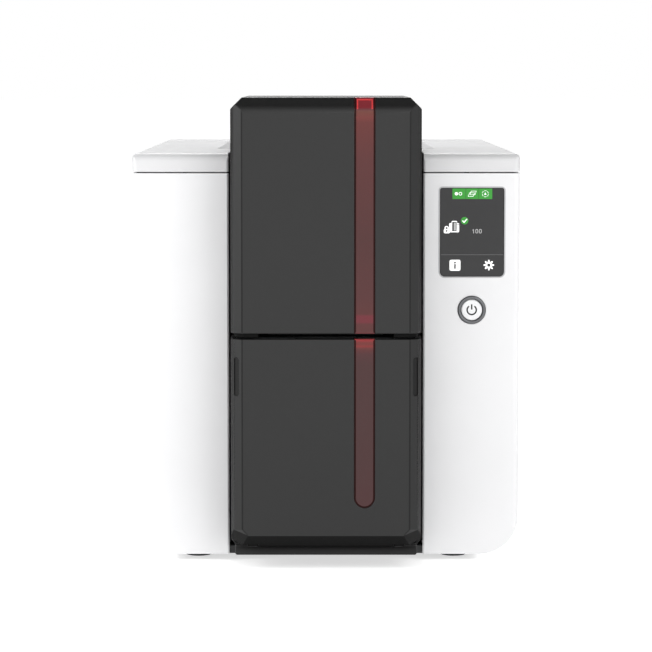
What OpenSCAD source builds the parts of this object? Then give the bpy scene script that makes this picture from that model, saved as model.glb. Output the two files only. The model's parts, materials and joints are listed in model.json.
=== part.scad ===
// Desktop ID card printer: white housing with a hinged lid over the print
// mechanism, and a dark card column at the front with a hinged feeder cover
// above and a hinged output door below.
// X runs to the right, Y to the back and Z up. The origin is on the ground,
// under the middle of the whole printer.

/* [Housing] */
// Width of the white housing
body_w = 205; // [196:1:250]
// Depth of the white housing without the column
body_d = 343; // [336:1:420]
// Height of the lid's top over the ground
body_top = 217.1; // [216:0.1:262]
// Height of the seam between the side shells and the lid
seam_z = 206.9; // [205.5:0.1:208]
// Ground clearance of the housing
ground_gap = 3.5; // [3:0.1:6]
// Wall thickness of the moulded shells
wall = 2.5; // [2:0.1:3]
// Radius of the two long lower edges
lower_r = 21; // [15:0.5:24]
// Radius of the front top edge of the lid
front_r = 4.6; // [4:0.1:6]
// Radius of the upper side edges
side_r = 3; // [2.8:0.1:4]
// Radius of the upright front edges
upright_r = 3; // [2.8:0.1:5]
// Radius of the upright rear edges
rear_r = 6; // [4:0.5:6]
// Gap along the seams of the housing
seam_gap = 0.6; // [0.4:0.1:0.8]

/* [Column] */
// Width of the card column
column_w = 99; // [97:0.5:104]
// Depth of the card column
column_d = 132.3; // [131:0.1:140]
// Height of the column's top over the ground
column_top = 246.8; // [244:0.1:262]
// How far the column stands out of the housing
column_out = 38; // [30:1:38]
// Size of the bevel around the column's front
bevel = 6; // [5:0.1:6]
// Gap between the column and the housing
notch_gap = 2; // [1.5:0.1:2.5]
// Lower edge of the feeder cover
cover_low = 124.9; // [124.5:0.1:126]
// Upper edge of the output door
door_high = 121.2; // [120.8:0.1:121.4]
// Lower edge of the output door
door_low = 13.5; // [13:0.1:14.5]
// Depth of the output door with its side walls
door_d = 23; // [23:0.5:26]
// Width of the hinge barrel and of the finger recess
tongue_w = 70; // [60:1:72]
// Width of the light bars
bar_w = 10.6; // [8:0.1:12]
// Distance of the light bars from the middle
bar_x = 20; // [14:0.5:28]
// Height of the light bar's round end
bar_end = 34; // [28:1:50]
// Running gap beside covers and doors
move_gap = 0.5; // [0.4:0.1:0.7]

/* [Cards] */
// Length of a card
card_l = 85.6; // [85:0.1:86]
// Width of a card
card_w = 54; // [53:0.1:55]
// Thickness of a card
card_t = 0.76; // [0.5:0.01:1]
// Play around the card stack
card_play = 1.4; // [1:0.1:2]
// Height of the feeder deck that the cards lie on
deck_z = 122.5; // [122:0.1:123]
// Height of the card path through the printer
path_z = 115; // [114:0.1:116]

/* [Rollers] */
// Radius of the transport rollers
roller_r = 6; // [5:0.1:6.5]
// Radius of the platen roller
platen_r = 8; // [7:0.1:9]
// Radius of the feed roller under the deck
feed_r = 6; // [5.5:0.1:6.5]
// Radius of the pinch rollers
pinch_r = 4.5; // [4:0.1:5]
// Radius of the cleaning roller
clean_r = 5.5; // [5:0.1:6]
// Radius of the roller shafts
shaft_r = 3; // [2.5:0.1:3.2]
// Radial running clearance of the shafts
run_gap = 0.04; // [0.03:0.01:0.06]
// Distance from the column's back to the platen
platen_at = 88.2; // [86:0.1:92]

/* [Ribbon] */
// Radius of the full supply roll
supply_r = 19; // [12:0.5:20]
// Radius of the take-up roll
takeup_r = 11; // [9:0.5:14]
// Width of the ribbon film
film_w = 58; // [56:0.5:59]
// Height of the spool axes
spool_z = 158; // [156:0.5:162]
// Teeth of the take-up gear
gear_teeth = 36; // [30:2:40]
// Teeth of the ribbon motor's pinion
pinion_teeth = 14; // [12:2:18]
// Gear module
gear_m = 0.8; // [0.7:0.05:0.8]

/* [Screen] */
// Width of the screen
screen_w = 33.8; // [30:0.1:36]
// Height of the screen
screen_h = 46.8; // [40:0.1:48]
// How far the screen sits off the middle of its panel
screen_shift = 0.2; // [-1:0.1:1]
// Height of the screen's centre
screen_z = 175.4; // [170:0.1:176]
// Height of the power button's centre
button_z = 134.2; // [130:0.1:137]
// Outer radius of the ring around the power button
ring_r = 7.45; // [7:0.05:8]
// Radius of the power button
button_r = 5.5; // [5:0.05:5.7]

/* [Hidden] */
$fn = 48;

// Main planes along the depth
col_front = -(body_d + column_out) / 2;
body_front = col_front + column_out;
body_back = body_front + body_d;
col_back = col_front + column_d;
notch_half = column_w / 2 + notch_gap;
notch_back = col_back + 0.7;
rear_split = body_back - rear_r;

// Card stack
stack_half = card_w / 2 + card_play - 0.2;
stack_front = col_front + door_d - 1.5;
stack_back = stack_front + card_l + card_play;
guide_t = 2;
deck_t = 3;

// Lid hinge: a knuckle hinge along the lid's rear edge
knuckle_r = 4.1;
lid_hinge_y = body_back - 44.5;
lid_hinge_z = body_top - knuckle_r;
cap_front = lid_hinge_y + knuckle_r + seam_gap;
knuckle_x = 77;
knuckle_w = 14;
pin_r = 1.5;

// Shallow channel along the lid behind the column
channel_top = 121.6;
channel_floor = 113.8;
channel_depth = 3;
channel_end = lid_hinge_y - 20;

// Feeder cover hinge
hood_hinge_y = col_back - 5.8;
hood_hinge_z = column_top - 7.3;
hood_lug_x = 38;
hood_lug_w = 4;
hood_lug_r = 3.8;
hood_pin_r = 2;
hood_pin_end = column_w / 2 - wall - 2.5;

// Output door hinge
door_hinge_y = col_front + 9.5;
door_hinge_z = door_low + 2;
barrel_r = 3.5;
sill_z = door_low - 5.5;
sill_half = column_w / 2 - 1.9;
sill_r = 1.2;

// Bevels of the column: narrow step at the sides, corners under the door's front, grip recess
side_step = 1.5;
bevel_turn = atan((bevel / 2) / (bevel - side_step));
low_corner = 2.9;
low_corner_tilt = 29;
grip_across = 0.66;
grip_r = 0.267 * bevel;
grip_depth = 0.8;
grip_low = 92.3;
grip_high = 112.5;

// Bottom of the printer
tray_half = body_w / 2 - lower_r - 0.8;
tray_front = body_front + wall + 0.3;
tray_back = rear_split - 0.3;
tray_top = ground_gap + wall;
tray_rim = tray_top + 8;
foot_r = 8;

// Mechanism between the two chassis plates
plate_in = 39;
plate_t = 1.2;
plate_out = plate_in + plate_t;
chassis_top = spool_z + 20;
chassis_low = 92;
platen_y = col_back + platen_at;
front_y = platen_y - 74;
rear_y = platen_y + 48;
clean_y = platen_y - 48;
chassis_front = front_y - 14;
chassis_back = platen_y + 105;
drive_z = path_z - card_t / 2 - roller_r;
platen_z = path_z - card_t / 2 - platen_r;
pinch_z = path_z + card_t / 2 + pinch_r;
clean_z = path_z + card_t / 2 + clean_r;
feed_y = stack_front + 57;
feed_z = deck_z + 0.3 - feed_r;
bush_r = shaft_r + 2;

// Belt drive on the left
belt_x = -46.5;
belt_w = 4;
belt_t = 1.2;
belt_gap = 0.05;
small_pulley_r = 7;
platen_pulley_r = 11;
motor_z = platen_z - 38;

// Ribbon
takeup_y = platen_y - 52;
supply_y = platen_y + 54;
cassette_in = 33;
cassette_t = 2;
journal_r = 4;
gear_x = -46;
gear_w = 4;
gear_dist = gear_m * (gear_teeth + pinion_teeth) / 2;
pinion_angle = 35;
pinion_y = takeup_y + gear_dist * cos(pinion_angle);
pinion_z = spool_z + gear_dist * sin(pinion_angle);
bar_z = path_z + 4.5;
film_low = path_z + 1;

// Inner panel of the lid, and the print head that hangs from it over the platen
liner_top = body_top - channel_depth - wall - 1.4;
liner_low = liner_top - 2;
head_half = 8;
head_y0 = platen_y - head_half;
head_y1 = platen_y + head_half;
sink_top = path_z + 26;

// Screen, and the control board behind it, in the panel beside the column
screen_x = (notch_half + body_w / 2) / 2 + screen_shift;
control_y = body_front + 10;
board_half = (body_w / 2 - notch_half) / 2 - wall - 2;
post_x = board_half - 2.5;

// Rear connectors, on the main board beside the right chassis plate
board_x = 54;
port_x = board_x + 8;
inlet_z = 26;
usb_z = 47;
network_z = 70;
fan_x = 72;
fan_z = 165;
fan_s = 40;

// ---------- helpers ----------

// A box from its two corners
module box(a, b) {
    translate(a) cube([b[0] - a[0], b[1] - a[1], b[2] - a[2]]);
}

// A rectangle from its two corners, with one radius for each corner:
// lower left, lower right, upper right, upper left
module soft_rect(a, b, r) {
    difference() {
        translate(a) square([b[0] - a[0], b[1] - a[1]]);
        corner_cut([a[0], a[1]], [1, 1], r[0]);
        corner_cut([b[0], a[1]], [-1, 1], r[1]);
        corner_cut([b[0], b[1]], [-1, -1], r[2]);
        corner_cut([a[0], b[1]], [1, -1], r[3]);
    }
}

// What a round corner takes away from a square one
module corner_cut(at, way, r) {
    translate(at) difference() {
        translate([way[0] > 0 ? -1 : -r, way[1] > 0 ? -1 : -r]) square(r + 1);
        translate([way[0] * r, way[1] * r]) circle(r);
    }
}

// Extrudes an outline drawn in X and Z along Y
module along_y(y0, y1) {
    translate([0, y1, 0]) rotate([90, 0, 0]) linear_extrude(y1 - y0) children();
}

// Extrudes an outline drawn in Y and Z along X
module along_x(x0, x1) {
    translate([x0, 0, 0]) rotate([90, 0, 90]) linear_extrude(x1 - x0) children();
}

// Extrudes an outline drawn in X and Y along Z
module along_z(z0, z1) {
    translate([0, 0, z0]) linear_extrude(z1 - z0) children();
}

// Round bars along the three axes
module rod_x(x0, x1, y, z, r) {
    translate([x0, y, z]) rotate([0, 90, 0]) cylinder(h = x1 - x0, r = r);
}

module rod_y(x, y0, y1, z, r) {
    translate([x, y1, z]) rotate([90, 0, 0]) cylinder(h = y1 - y0, r = r);
}

module rod_z(x, y, z0, z1, r) {
    translate([x, y, z0]) cylinder(h = z1 - z0, r = r);
}

// The same piece on both sides
module both_sides() {
    children();
    mirror([1, 0, 0]) children();
}

// ---------- housing ----------

// The whole white body as one closed form, drawn in from its surface by t
module housing_form(t) {
    x = body_w / 2 - t;
    y0 = body_front + t;
    y1 = body_back - t;
    z0 = ground_gap + t;
    z1 = body_top - t;
    intersection() {
        along_y(y0, y1) soft_rect([-x, z0], [x, z1],
            [lower_r - t, lower_r - t, side_r - t, side_r - t]);
        along_x(-x, x) soft_rect([y0, z0], [y1, z1], [0.6, 0.6, side_r - t, front_r - t]);
        along_z(z0, z1) soft_rect([-x, y0], [x, y1],
            [upright_r - t, upright_r - t, rear_r - t, rear_r - t]);
    }
}

module housing_skin() {
    difference() {
        housing_form(0);
        housing_form(wall);
    }
}

// The upright walls beside the column
module notch_wall(z0, z1) {
    intersection() {
        housing_form(0);
        box([-notch_half - wall, body_front, z0], [-notch_half, notch_back + wall, z1]);
    }
}

// The space of the column in the housing, with its small front bevels
module notch_space(z0, z1) {
    edge = 0.8;
    along_z(z0, z1) polygon([[-notch_half - edge, body_front - 1],
        [-notch_half - edge, body_front], [-notch_half, body_front + edge],
        [-notch_half, notch_back], [notch_half, notch_back],
        [notch_half, body_front + edge], [notch_half + edge, body_front],
        [notch_half + edge, body_front - 1]]);
}

// One side shell, as the left one
module side_shell() {
    top = seam_z - seam_gap / 2;
    difference() {
        intersection() {
            union() {
                housing_skin();
                notch_wall(0, top);
            }
            box([-body_w, body_front - 1, 0], [-notch_half, rear_split - seam_gap / 2, top]);
        }
        notch_space(0, body_top);
        box([-tray_half - 0.3, tray_front - 0.3, 0], [0, body_back, sill_z + 0.3]);
    }
    shell_ribs();
}

// Stiffening ribs inside a side shell
module shell_ribs() {
    inner = body_w / 2 - wall;
    for (y = [body_front + 60, body_front + 130, body_front + 200, body_front + 270])
        box([-inner - 0.1, y, 40], [-inner + 5, y + 1.6, seam_z - 8]);
}

module left_shell() {
    color("white") side_shell();
}

module screen_hole(y0, y1, grow) {
    w = screen_w / 2 + grow;
    h = screen_h / 2 + grow;
    along_y(y0, y1) soft_rect([screen_x - w, screen_z - h], [screen_x + w, screen_z + h],
        [2.5, 2.5, 1.2, 1.2]);
}

module right_shell() {
    color("white") {
        difference() {
            mirror([1, 0, 0]) side_shell();
            screen_hole(body_front - 1, body_front + wall + 1, 0.25);
            rod_y(screen_x, body_front - 1, body_front + wall + 1, button_z, ring_r + 0.1);
        }
        board_posts();
    }
}

// Posts on the inner side of the front wall that carry the control board
module board_posts() {
    for (x = [screen_x - post_x, screen_x + post_x])
        for (z = [button_z - 8, button_z + 12.5])
            rod_y(x, body_front + wall - 0.1, control_y, z, 2.4);
}

module rear_cover() {
    top_low = seam_z + seam_gap / 2;
    color("white") {
        difference() {
            union() {
                intersection() {
                    housing_skin();
                    box([-body_w, rear_split, 0], [body_w, body_back + 1, body_top + 1]);
                }
                intersection() {
                    housing_skin();
                    box([-body_w, cap_front, top_low], [body_w, rear_split + 1, body_top + 1]);
                }
                intersection() {
                    housing_form(0);
                    box([-body_w, cap_front, top_low], [body_w, cap_front + wall, body_top + 1]);
                }
                both_sides() lid_lug();
            }
            both_sides() rod_x(knuckle_x - knuckle_w, knuckle_x + knuckle_w,
                lid_hinge_y, lid_hinge_z, pin_r);
            rear_cutouts();
        }
    }
}

// Fixed knuckle of the lid hinge
module lid_lug() {
    x0 = knuckle_x - knuckle_w / 2;
    x1 = knuckle_x + knuckle_w / 2;
    rod_x(x0, x1, lid_hinge_y, lid_hinge_z, knuckle_r);
    box([x0, lid_hinge_y, lid_hinge_z - 3], [x1, cap_front + 1, lid_hinge_z + knuckle_r]);
}

// Card slot, connector openings, fan grille, air slots and lock slot
module rear_cutouts() {
    y0 = body_back - wall - 1;
    y1 = body_back + 1;
    box([-card_w / 2 - 2, y0, path_z - 3], [card_w / 2 + 2, y1, path_z + 3]);
    rod_y(port_x, y0, y1, inlet_z, 5.2);
    box([port_x - 6.8, y0, usb_z - 5.7], [port_x + 6.3, y1, usb_z + 5.7]);
    box([port_x - 7.1, y0, network_z - 8.3], [port_x + 8.3, y1, network_z + 8.3]);
    for (i = [0:6])
        box([fan_x - 17 + i * 5, y0, fan_z - 17], [fan_x - 14 + i * 5, y1, fan_z + 17]);
    for (i = [0:9])
        box([-80 + i * 6, y0, 26], [-77 + i * 6, y1, 62]);
    box([-75, y0, 150], [-68, y1, 153]);
}

module base_tray() {
    color("dimgray") {
        difference() {
            box([-tray_half, tray_front, ground_gap], [tray_half, tray_back, tray_rim]);
            box([-tray_half + wall, tray_front + wall, tray_top],
                [tray_half - wall, tray_back - wall, tray_rim + 1]);
            box([-notch_half - wall - 0.3, tray_front - 1, sill_z],
                [notch_half + wall + 0.3, tray_front + wall + 1, tray_rim + 1]);
            for (p = foot_places()) rod_z(p[0], p[1], 0, ground_gap + 1.2, foot_r);
            for (p = leg_places()) rod_z(p[0], p[1], 0, 30, 1.6);
            for (i = [0:8])
                box([-62 + i * 7, body_back - 90, 0], [-59 + i * 7, body_back - 50, 30]);
        }
        tray_ribs();
    }
}

function foot_places() = [for (x = [-1, 1]) for (y = [body_front + 22, body_back - 22])
    [x * (tray_half - 12), y]];
function leg_places() = [for (x = [-1, 1]) for (y = [chassis_front + 8, chassis_back - 8])
    [x * (plate_in - 5), y]];

// Ribs on the tray's floor
module tray_ribs() {
    for (x = [-40, -14, 14, 40])
        box([x - 0.8, tray_front + 1, tray_top - 0.1], [x + 0.8, chassis_front - 6, sill_z]);
    for (y = [body_front + 70, body_back - 110])
        box([-tray_half + 1, y, tray_top - 0.1], [-notch_half - wall - 1, y + 1.6, tray_top + 4]);
}

module rubber_feet() {
    color("black") for (p = foot_places()) {
        rod_z(p[0], p[1], 1, ground_gap + 1.2, foot_r - 0.05);
        rod_z(p[0], p[1], 0, 1, foot_r - 1);
    }
}

module base_screws() {
    color("silver") {
        for (p = leg_places()) {
            rod_z(p[0], p[1], ground_gap - 1.6, ground_gap, 3);
            rod_z(p[0], p[1], ground_gap - 0.1, tray_top + 5, 1.5);
        }
    }
}

// ---------- lid ----------

// The channel's form, grown by t for the inner side of the wall
module channel_space(t) {
    top = body_top + 1;
    low = body_top - channel_depth - t;
    slope = (channel_top - channel_floor) / 2;
    half = channel_floor / 2 + t;
    intersection() {
        along_y(0 - body_d, body_d) polygon([[-half, low], [half, low],
            [half + slope, body_top - t], [half + slope, top],
            [-half - slope, top], [-half - slope, body_top - t]]);
        along_x(-body_w, body_w) polygon([[notch_back - t, low], [channel_end + t, low],
            [channel_end + slope + t, body_top - t], [channel_end + slope + t, top],
            [notch_back - t, top]]);
    }
}

module lid_shell() {
    low = seam_z + seam_gap / 2;
    color("white") difference() {
        intersection() {
            union() {
                lid_walls(low);
                lid_nose(low);
            }
            housing_form(0);
        }
        notch_space(0, body_top + 5);
        both_sides() lid_hinge_cuts();
    }
}

// Top and skirts of the lid up to the hinge
module lid_walls(low) {
    difference() {
        union() {
            difference() {
                housing_form(0);
                channel_space(0);
                difference() {
                    housing_form(wall);
                    channel_space(wall);
                }
            }
            both_sides() notch_wall(low, body_top);
            notch_rear_wall(low);
        }
        box([-body_w, body_front - 5, 0], [body_w, body_back + 5, low]);
        box([-body_w, lid_hinge_y, 0], [body_w, body_back + 5, body_top + 5]);
    }
}

// The wall of the lid behind the column, under the channel
module notch_rear_wall(low) {
    difference() {
        box([-notch_half - wall, notch_back, low], [notch_half + wall, notch_back + wall,
            body_top - 0.5]);
        channel_space(0);
    }
}

// The round rear edge that turns in front of the rear cap
module lid_nose(low) {
    z = lid_hinge_z;
    y = lid_hinge_y;
    along_x(-body_w / 2, body_w / 2) union() {
        translate([y, z]) circle(knuckle_r);
        polygon([[y - 6, low], [y + 2.1, low], [y + knuckle_r, low + 2], [y + knuckle_r, z],
            [y - 6, z]]);
    }
}

module lid_hinge_cuts() {
    x0 = knuckle_x - knuckle_w / 2 - 0.4;
    x1 = knuckle_x + knuckle_w / 2 + 0.4;
    box([x0, lid_hinge_y - knuckle_r - 0.6, 0], [x1, body_back, body_top + 5]);
    rod_x(knuckle_x - knuckle_w - 1, knuckle_x + knuckle_w + 1,
        lid_hinge_y, lid_hinge_z, pin_r + run_gap);
}

// Inner panel of the lid, with ribs up to the lid's ceiling
module lid_liner() {
    front = notch_back + wall + 0.5;
    back = channel_end - 2;
    color("dimgray") {
        difference() {
            box([-92, front, liner_low], [92, back, liner_top]);
            for (x = [-70, 70]) box([x - 12, platen_y + 20, 0], [x + 12, platen_y + 70, 300]);
        }
        for (y = [front + 15, platen_y + 10, back - 15])
            box([-54, y, liner_top - 0.1], [54, y + 2, liner_top + 1.4]);
        for (x = [-88, 88])
            box([x - 1, front + 5, liner_top - 0.1], [x + 1, back - 5, body_top - wall]);
    }
}

module head_bracket() {
    color("silver") {
        for (s = [-1, 1]) {
            difference() {
                box([s * 26 - 1, head_y0 - 1, sink_top - 8], [s * 26 + 1, head_y1 + 1, liner_low]);
                rod_x(-60, 60, platen_y, sink_top + 32, 5);
                rod_x(-60, 60, platen_y, sink_top + 14, 5);
            }
        }
        box([-26, head_y0 - 1, sink_top], [26, head_y1 + 1, sink_top + 1.5]);
        box([-26, platen_y + 7.5, sink_top + 1], [26, head_y1 + 1, liner_low]);
        box([-26, head_y0 - 6, liner_low - 1.5], [26, head_y1 + 6, liner_low]);
    }
}

module print_head() {
    color("saddlebrown") {
        difference() {
            box([-film_w / 2, head_y0, path_z + 3], [film_w / 2, head_y1, path_z + 6]);
            box([-film_w / 2 + 4, head_y0 - 1, path_z + 5], [film_w / 2 - 4, head_y0 + 4, path_z + 7]);
        }
        intersection() {
            rod_x(-film_w / 2, film_w / 2, platen_y, path_z + 3.3, 2);
            box([-40, platen_y - 4, path_z], [40, platen_y + 4, path_z + 3.2]);
        }
    }
}

// Finned heat sink between the head and its bracket
module heat_sink() {
    color("gray") {
        box([-24.5, head_y0 + 1, path_z + 6], [24.5, head_y1 - 1, path_z + 10]);
        for (i = [0:7])
            box([-24.5 + i * 6.8, head_y0 + 1, path_z + 9], [-23.1 + i * 6.8, head_y1 - 1, sink_top]);
        box([-24.5, platen_y - 1, path_z + 9], [24.5, platen_y + 1, sink_top]);
    }
}

// ---------- column covers ----------

// The whole column as one closed form, drawn in from its surface by t
module column_form(t) {
    x = column_w / 2 - t;
    y0 = col_front + t;
    b = bevel - 0.586 * t;
    z1 = column_top - t;
    z0 = door_low + t;
    far = 20;
    difference() {
        column_block(x, y0, z0, z1, b);
        for (s = [-1, 1])
            translate([s * (column_w / 2 - bevel), col_front, door_low + bevel + low_corner])
                rotate([low_corner_tilt, 0, s * bevel_turn]) box([-far, -far, -far], [far, t, far]);
    }
}

// Block with bevelled sides, top and bottom
module column_block(x, y0, z0, z1, b) {
    intersection() {
        along_z(0, column_top) polygon([[-x, col_back], [-x, y0 + b], [-x + side_step, y0 + b / 2],
            [-x + b, y0], [x - b, y0], [x - side_step, y0 + b / 2], [x, y0 + b], [x, col_back]]);
        along_y(col_front - 1, col_back) polygon([[-x, z0 + 2], [-x + 2, z0], [x - 2, z0],
            [x, z0 + 2], [x, z1 - b], [x - b, z1], [-x + b, z1], [-x, z1 - b]]);
        along_x(-x, x) polygon([[y0, z0 + b], [y0 + b, z0], [col_back, z0], [col_back, z1],
            [y0 + b, z1], [y0, z1 - b]]);
    }
}

// Strip of the column where the light bars lie
module bar_space(z0, z1) {
    box([bar_x - bar_w / 2, col_front - 1, z0], [bar_x + bar_w / 2, col_front + bevel + 6, z1]);
}

module column_skin() {
    difference() {
        column_form(0);
        column_form(wall);
    }
}

// Set-back lip under the feeder cover's front, deeper in the middle for the fingers
module cover_lip() {
    low = door_high + 1.4;
    difference() {
        intersection() {
            column_form(1.5);
            box([-column_w, col_front, low], [column_w, col_front + bevel + 0.4, cover_low + 2]);
        }
        column_form(1.5 + wall);
        box([-tongue_w / 2, col_front - 1, low - 1], [tongue_w / 2, col_front + 10, cover_low]);
        bar_space(cover_low, column_top);
    }
    box([-tongue_w / 2 - 1, col_front + wall, cover_low],
        [tongue_w / 2 + 1, col_front + 6, cover_low + 1.5]);
}

module feeder_cover() {
    color("#404040") {
        difference() {
            union() {
                intersection() {
                    column_skin();
                    box([-column_w, col_front - 1, cover_low], [column_w, col_back + 1, 300]);
                }
                hood_rear_lip();
            }
            bar_space(cover_low - 1, column_top + 1);
        }
        cover_lip();
        both_sides() hood_ear();
        bar_carrier(cover_low + 3, column_top - 12);
    }
}

// Short rear wall between the hinge lugs
module hood_rear_lip() {
    box([-hood_lug_x + 5, col_back - wall, hood_hinge_z - 7],
        [hood_lug_x - 5, col_back, column_top - wall + 0.5]);
}

// Ear with the hinge bore beside each lug
module hood_ear() {
    x0 = hood_lug_x + hood_lug_w / 2 + 0.4;
    difference() {
        union() {
            rod_x(x0, column_w / 2 - wall + 0.1, hood_hinge_y, hood_hinge_z, hood_lug_r);
            box([x0, hood_hinge_y - 3, hood_hinge_z], [column_w / 2 - wall + 0.1,
                hood_hinge_y + 3, column_top - wall + 0.1]);
        }
        rod_x(x0 - 1, hood_pin_end + 0.4, hood_hinge_y, hood_hinge_z, hood_pin_r + run_gap);
    }
}

// Two ribs that hold the light bar from behind
module bar_carrier(z0, z1) {
    for (s = [-1, 1])
        box([bar_x + s * (bar_w / 2 + 1) - 0.6, col_front + wall - 0.1, z0],
            [bar_x + s * (bar_w / 2 + 1) + 0.6, col_front + wall + 2, z1]);
    for (z = [z0 + 4, (z0 + z1) / 2, z1 - 6])
        box([bar_x - bar_w / 2 - 1, col_front + wall + 0.6, z],
            [bar_x + bar_w / 2 + 1, col_front + wall + 2, z + 3]);
}

module upper_light_bar() {
    color("#b03040") difference() {
        intersection() {
            column_skin();
            bar_space(cover_low, column_top + 1);
        }
        box([bar_x - bar_w, col_front + wall + 0.01, 0],
            [bar_x + bar_w, col_front + 100, column_top - bevel - wall]);
    }
}

// Shallow obround recess in each side bevel of the output door
module side_grip() {
    x = column_w / 2 - bevel + grip_across * (bevel - side_step);
    y = col_front + grip_across * bevel / 2;
    for (s = [-1, 1]) translate([s * x, y, 0]) rotate([0, 0, s * bevel_turn])
        along_y(-3, grip_depth)
            soft_rect([-grip_r, grip_low], [grip_r, grip_high], [grip_r, grip_r, grip_r, grip_r]);
}

module output_door() {
    back = col_front + door_d;
    color("#404040") {
        difference() {
            union() {
                intersection() {
                    column_skin();
                    box([-column_w, col_front - 1, 0], [column_w, back, door_high]);
                }
                rod_x(-tongue_w / 2 + 0.3, tongue_w / 2 - 0.3, door_hinge_y, door_hinge_z, barrel_r);
                door_top_edge();
            }
            lower_bar_space();
            rod_x(-tongue_w, tongue_w, door_hinge_y, door_hinge_z, pin_r + run_gap);
            both_sides() door_lug_slot();
            side_grip();
        }
        door_bosses();
    }
}

// Inner ledge along the upper edge of the door
module door_top_edge() {
    box([-column_w / 2 + wall, col_front + wall - 0.1, door_high - 2.5],
        [column_w / 2 - wall, col_front + 6, door_high - 0.8]);
}

module lower_bar_space() {
    r = bar_w / 2;
    along_y(col_front - 1, col_front + wall + 0.5) union() {
        translate([bar_x - r, bar_end + r]) square([bar_w, door_high]);
        translate([bar_x, bar_end + r]) circle(r);
    }
}

module door_lug_slot() {
    box([tongue_w / 2 + 0.3, door_hinge_y - barrel_r - 0.4, 0],
        [tongue_w / 2 + 6.1, col_front + door_d + 1, door_hinge_z + barrel_r + 1]);
}

module door_bosses() {
    for (x = [-38, 38]) for (z = [34, 104])
        rod_y(x, col_front + wall - 0.1, stack_front - 2.5, z, 3);
}

module door_liner() {
    half = column_w / 2 - wall - 0.3;
    color("dimgray") difference() {
        box([-half, stack_front - 2.5, 22], [half, stack_front - 0.5, door_high - 4]);
        rod_y(0, stack_front - 4, stack_front + 1, door_high + 4, 16);
        for (x = [-36, -12, 12, 36])
            box([x - 3, stack_front - 4, 40], [x + 3, stack_front + 1, 80]);
    }
}

module lower_light_bar() {
    r = bar_w / 2;
    color("#b03040") intersection() {
        along_y(col_front, col_front + wall) union() {
            translate([bar_x - r, bar_end + r]) square([bar_w, door_high - bar_end - r]);
            translate([bar_x, bar_end + r]) circle(r);
        }
        box([-column_w, col_front, 0], [column_w, col_front + wall, door_high]);
    }
}

// ---------- fixed part of the column ----------

module output_bin() {
    skin = column_w / 2;
    top = deck_z - deck_t;
    front = col_front + door_d + move_gap;
    color("#303030") {
        difference() {
            union() {
                both_sides() bin_side(skin, front, top);
                box([-skin, front, door_low], [skin, col_back, door_low + wall]);
                box([-stack_half, stack_back, door_low], [stack_half, stack_back + wall, top]);
                sill();
            }
            box([-stack_half + 0.5, stack_back - 1, path_z - 12],
                [stack_half - 0.5, stack_back + wall + 1, path_z - 2.5]);
            rod_x(-60, 60, feed_y, feed_z, shaft_r - 0.5 + run_gap);
            box([stack_half + guide_t, feed_y - 13, 0], [stack_half + 22, feed_y + 13, 200]);
        }
        both_sides() door_lug();
    }
}

// Outer skin, inner guide wall and the ribs between them on one side
module bin_side(skin, front, top) {
    box([skin - wall, front, door_low], [skin, col_back, door_high]);
    box([stack_half, front, door_low], [stack_half + guide_t, stack_back + wall, top]);
    for (y = [front, stack_front + 28, stack_back])
        box([stack_half, y, door_low], [skin - 0.1, y + wall, top]);
}

// Sill under the door, with room for the door's barrel and its swing
module sill() {
    y = door_hinge_y;
    z = door_hinge_z;
    difference() {
        intersection() {
            along_x(-sill_half, sill_half) polygon([[y - 1.7, sill_z], [y + 2.3, sill_z + 4],
                [y + 2.3, door_low - 0.3], [col_front + door_d + 1, door_low - 0.3],
                [col_front + door_d + 1, door_low + wall], [col_back, door_low + wall],
                [col_back, sill_z]]);
            along_y(y - 2, col_back + 1) soft_rect([-sill_half, sill_z],
                [sill_half, door_high], [sill_r, sill_r, 0, 0]);
        }
        rod_x(-tongue_w / 2 - 0.3, tongue_w / 2 + 0.3, y, z, barrel_r + 0.4);
    }
}

// Lug that carries the door's hinge pin
module door_lug() {
    x0 = tongue_w / 2 + 0.6;
    x1 = x0 + 5.2;
    leg_y = door_hinge_y + 2.6;
    difference() {
        union() {
            rod_x(x0, x1, door_hinge_y, door_hinge_z, barrel_r - 0.1);
            along_x(x0, x1) polygon([[door_hinge_y - 1, door_hinge_z],
                [door_hinge_y + barrel_r - 0.1, door_hinge_z], [door_hinge_y + 6, sill_z + 2],
                [leg_y, sill_z + 2], [leg_y, door_hinge_z - barrel_r - 0.1]]);
        }
        rod_x(x0 - 1, x1 + 1, door_hinge_y, door_hinge_z, pin_r);
    }
}

module feeder_frame() {
    low = deck_z - deck_t;
    side = column_w / 2 - wall - move_gap;
    wall_top = column_top - 24;
    color("#303030") {
        difference() {
            union() {
                box([-side, col_front + 7, low], [side, col_back, deck_z]);
                both_sides() feeder_side(side, wall_top);
                box([-side, stack_back, low], [side, stack_back + wall, wall_top + 6]);
                box([-side, col_back - wall, low], [side, col_back, hood_hinge_z - 9]);
                box([-stack_half - guide_t, stack_front - 2, low],
                    [stack_half + guide_t, stack_front, deck_z + 3]);
            }
            box([-14, feed_y - 7.5, low - 1], [14, feed_y + 7.5, deck_z + 1]);
            box([-stack_half + 0.3, stack_back - 1, deck_z],
                [stack_half - 0.3, stack_back + wall + 1, deck_z + 1.6]);
            weight_slot();
            gauge_slot();
            box([-16, col_front, low - 1], [16, stack_front - 8, deck_z + 1]);
            box([-stack_half - 4.3, stack_back + wall, low - 1],
                [stack_half + 4.3, col_back + 1, path_z + 14]);
        }
        both_sides() hood_lug();
    }
}

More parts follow.
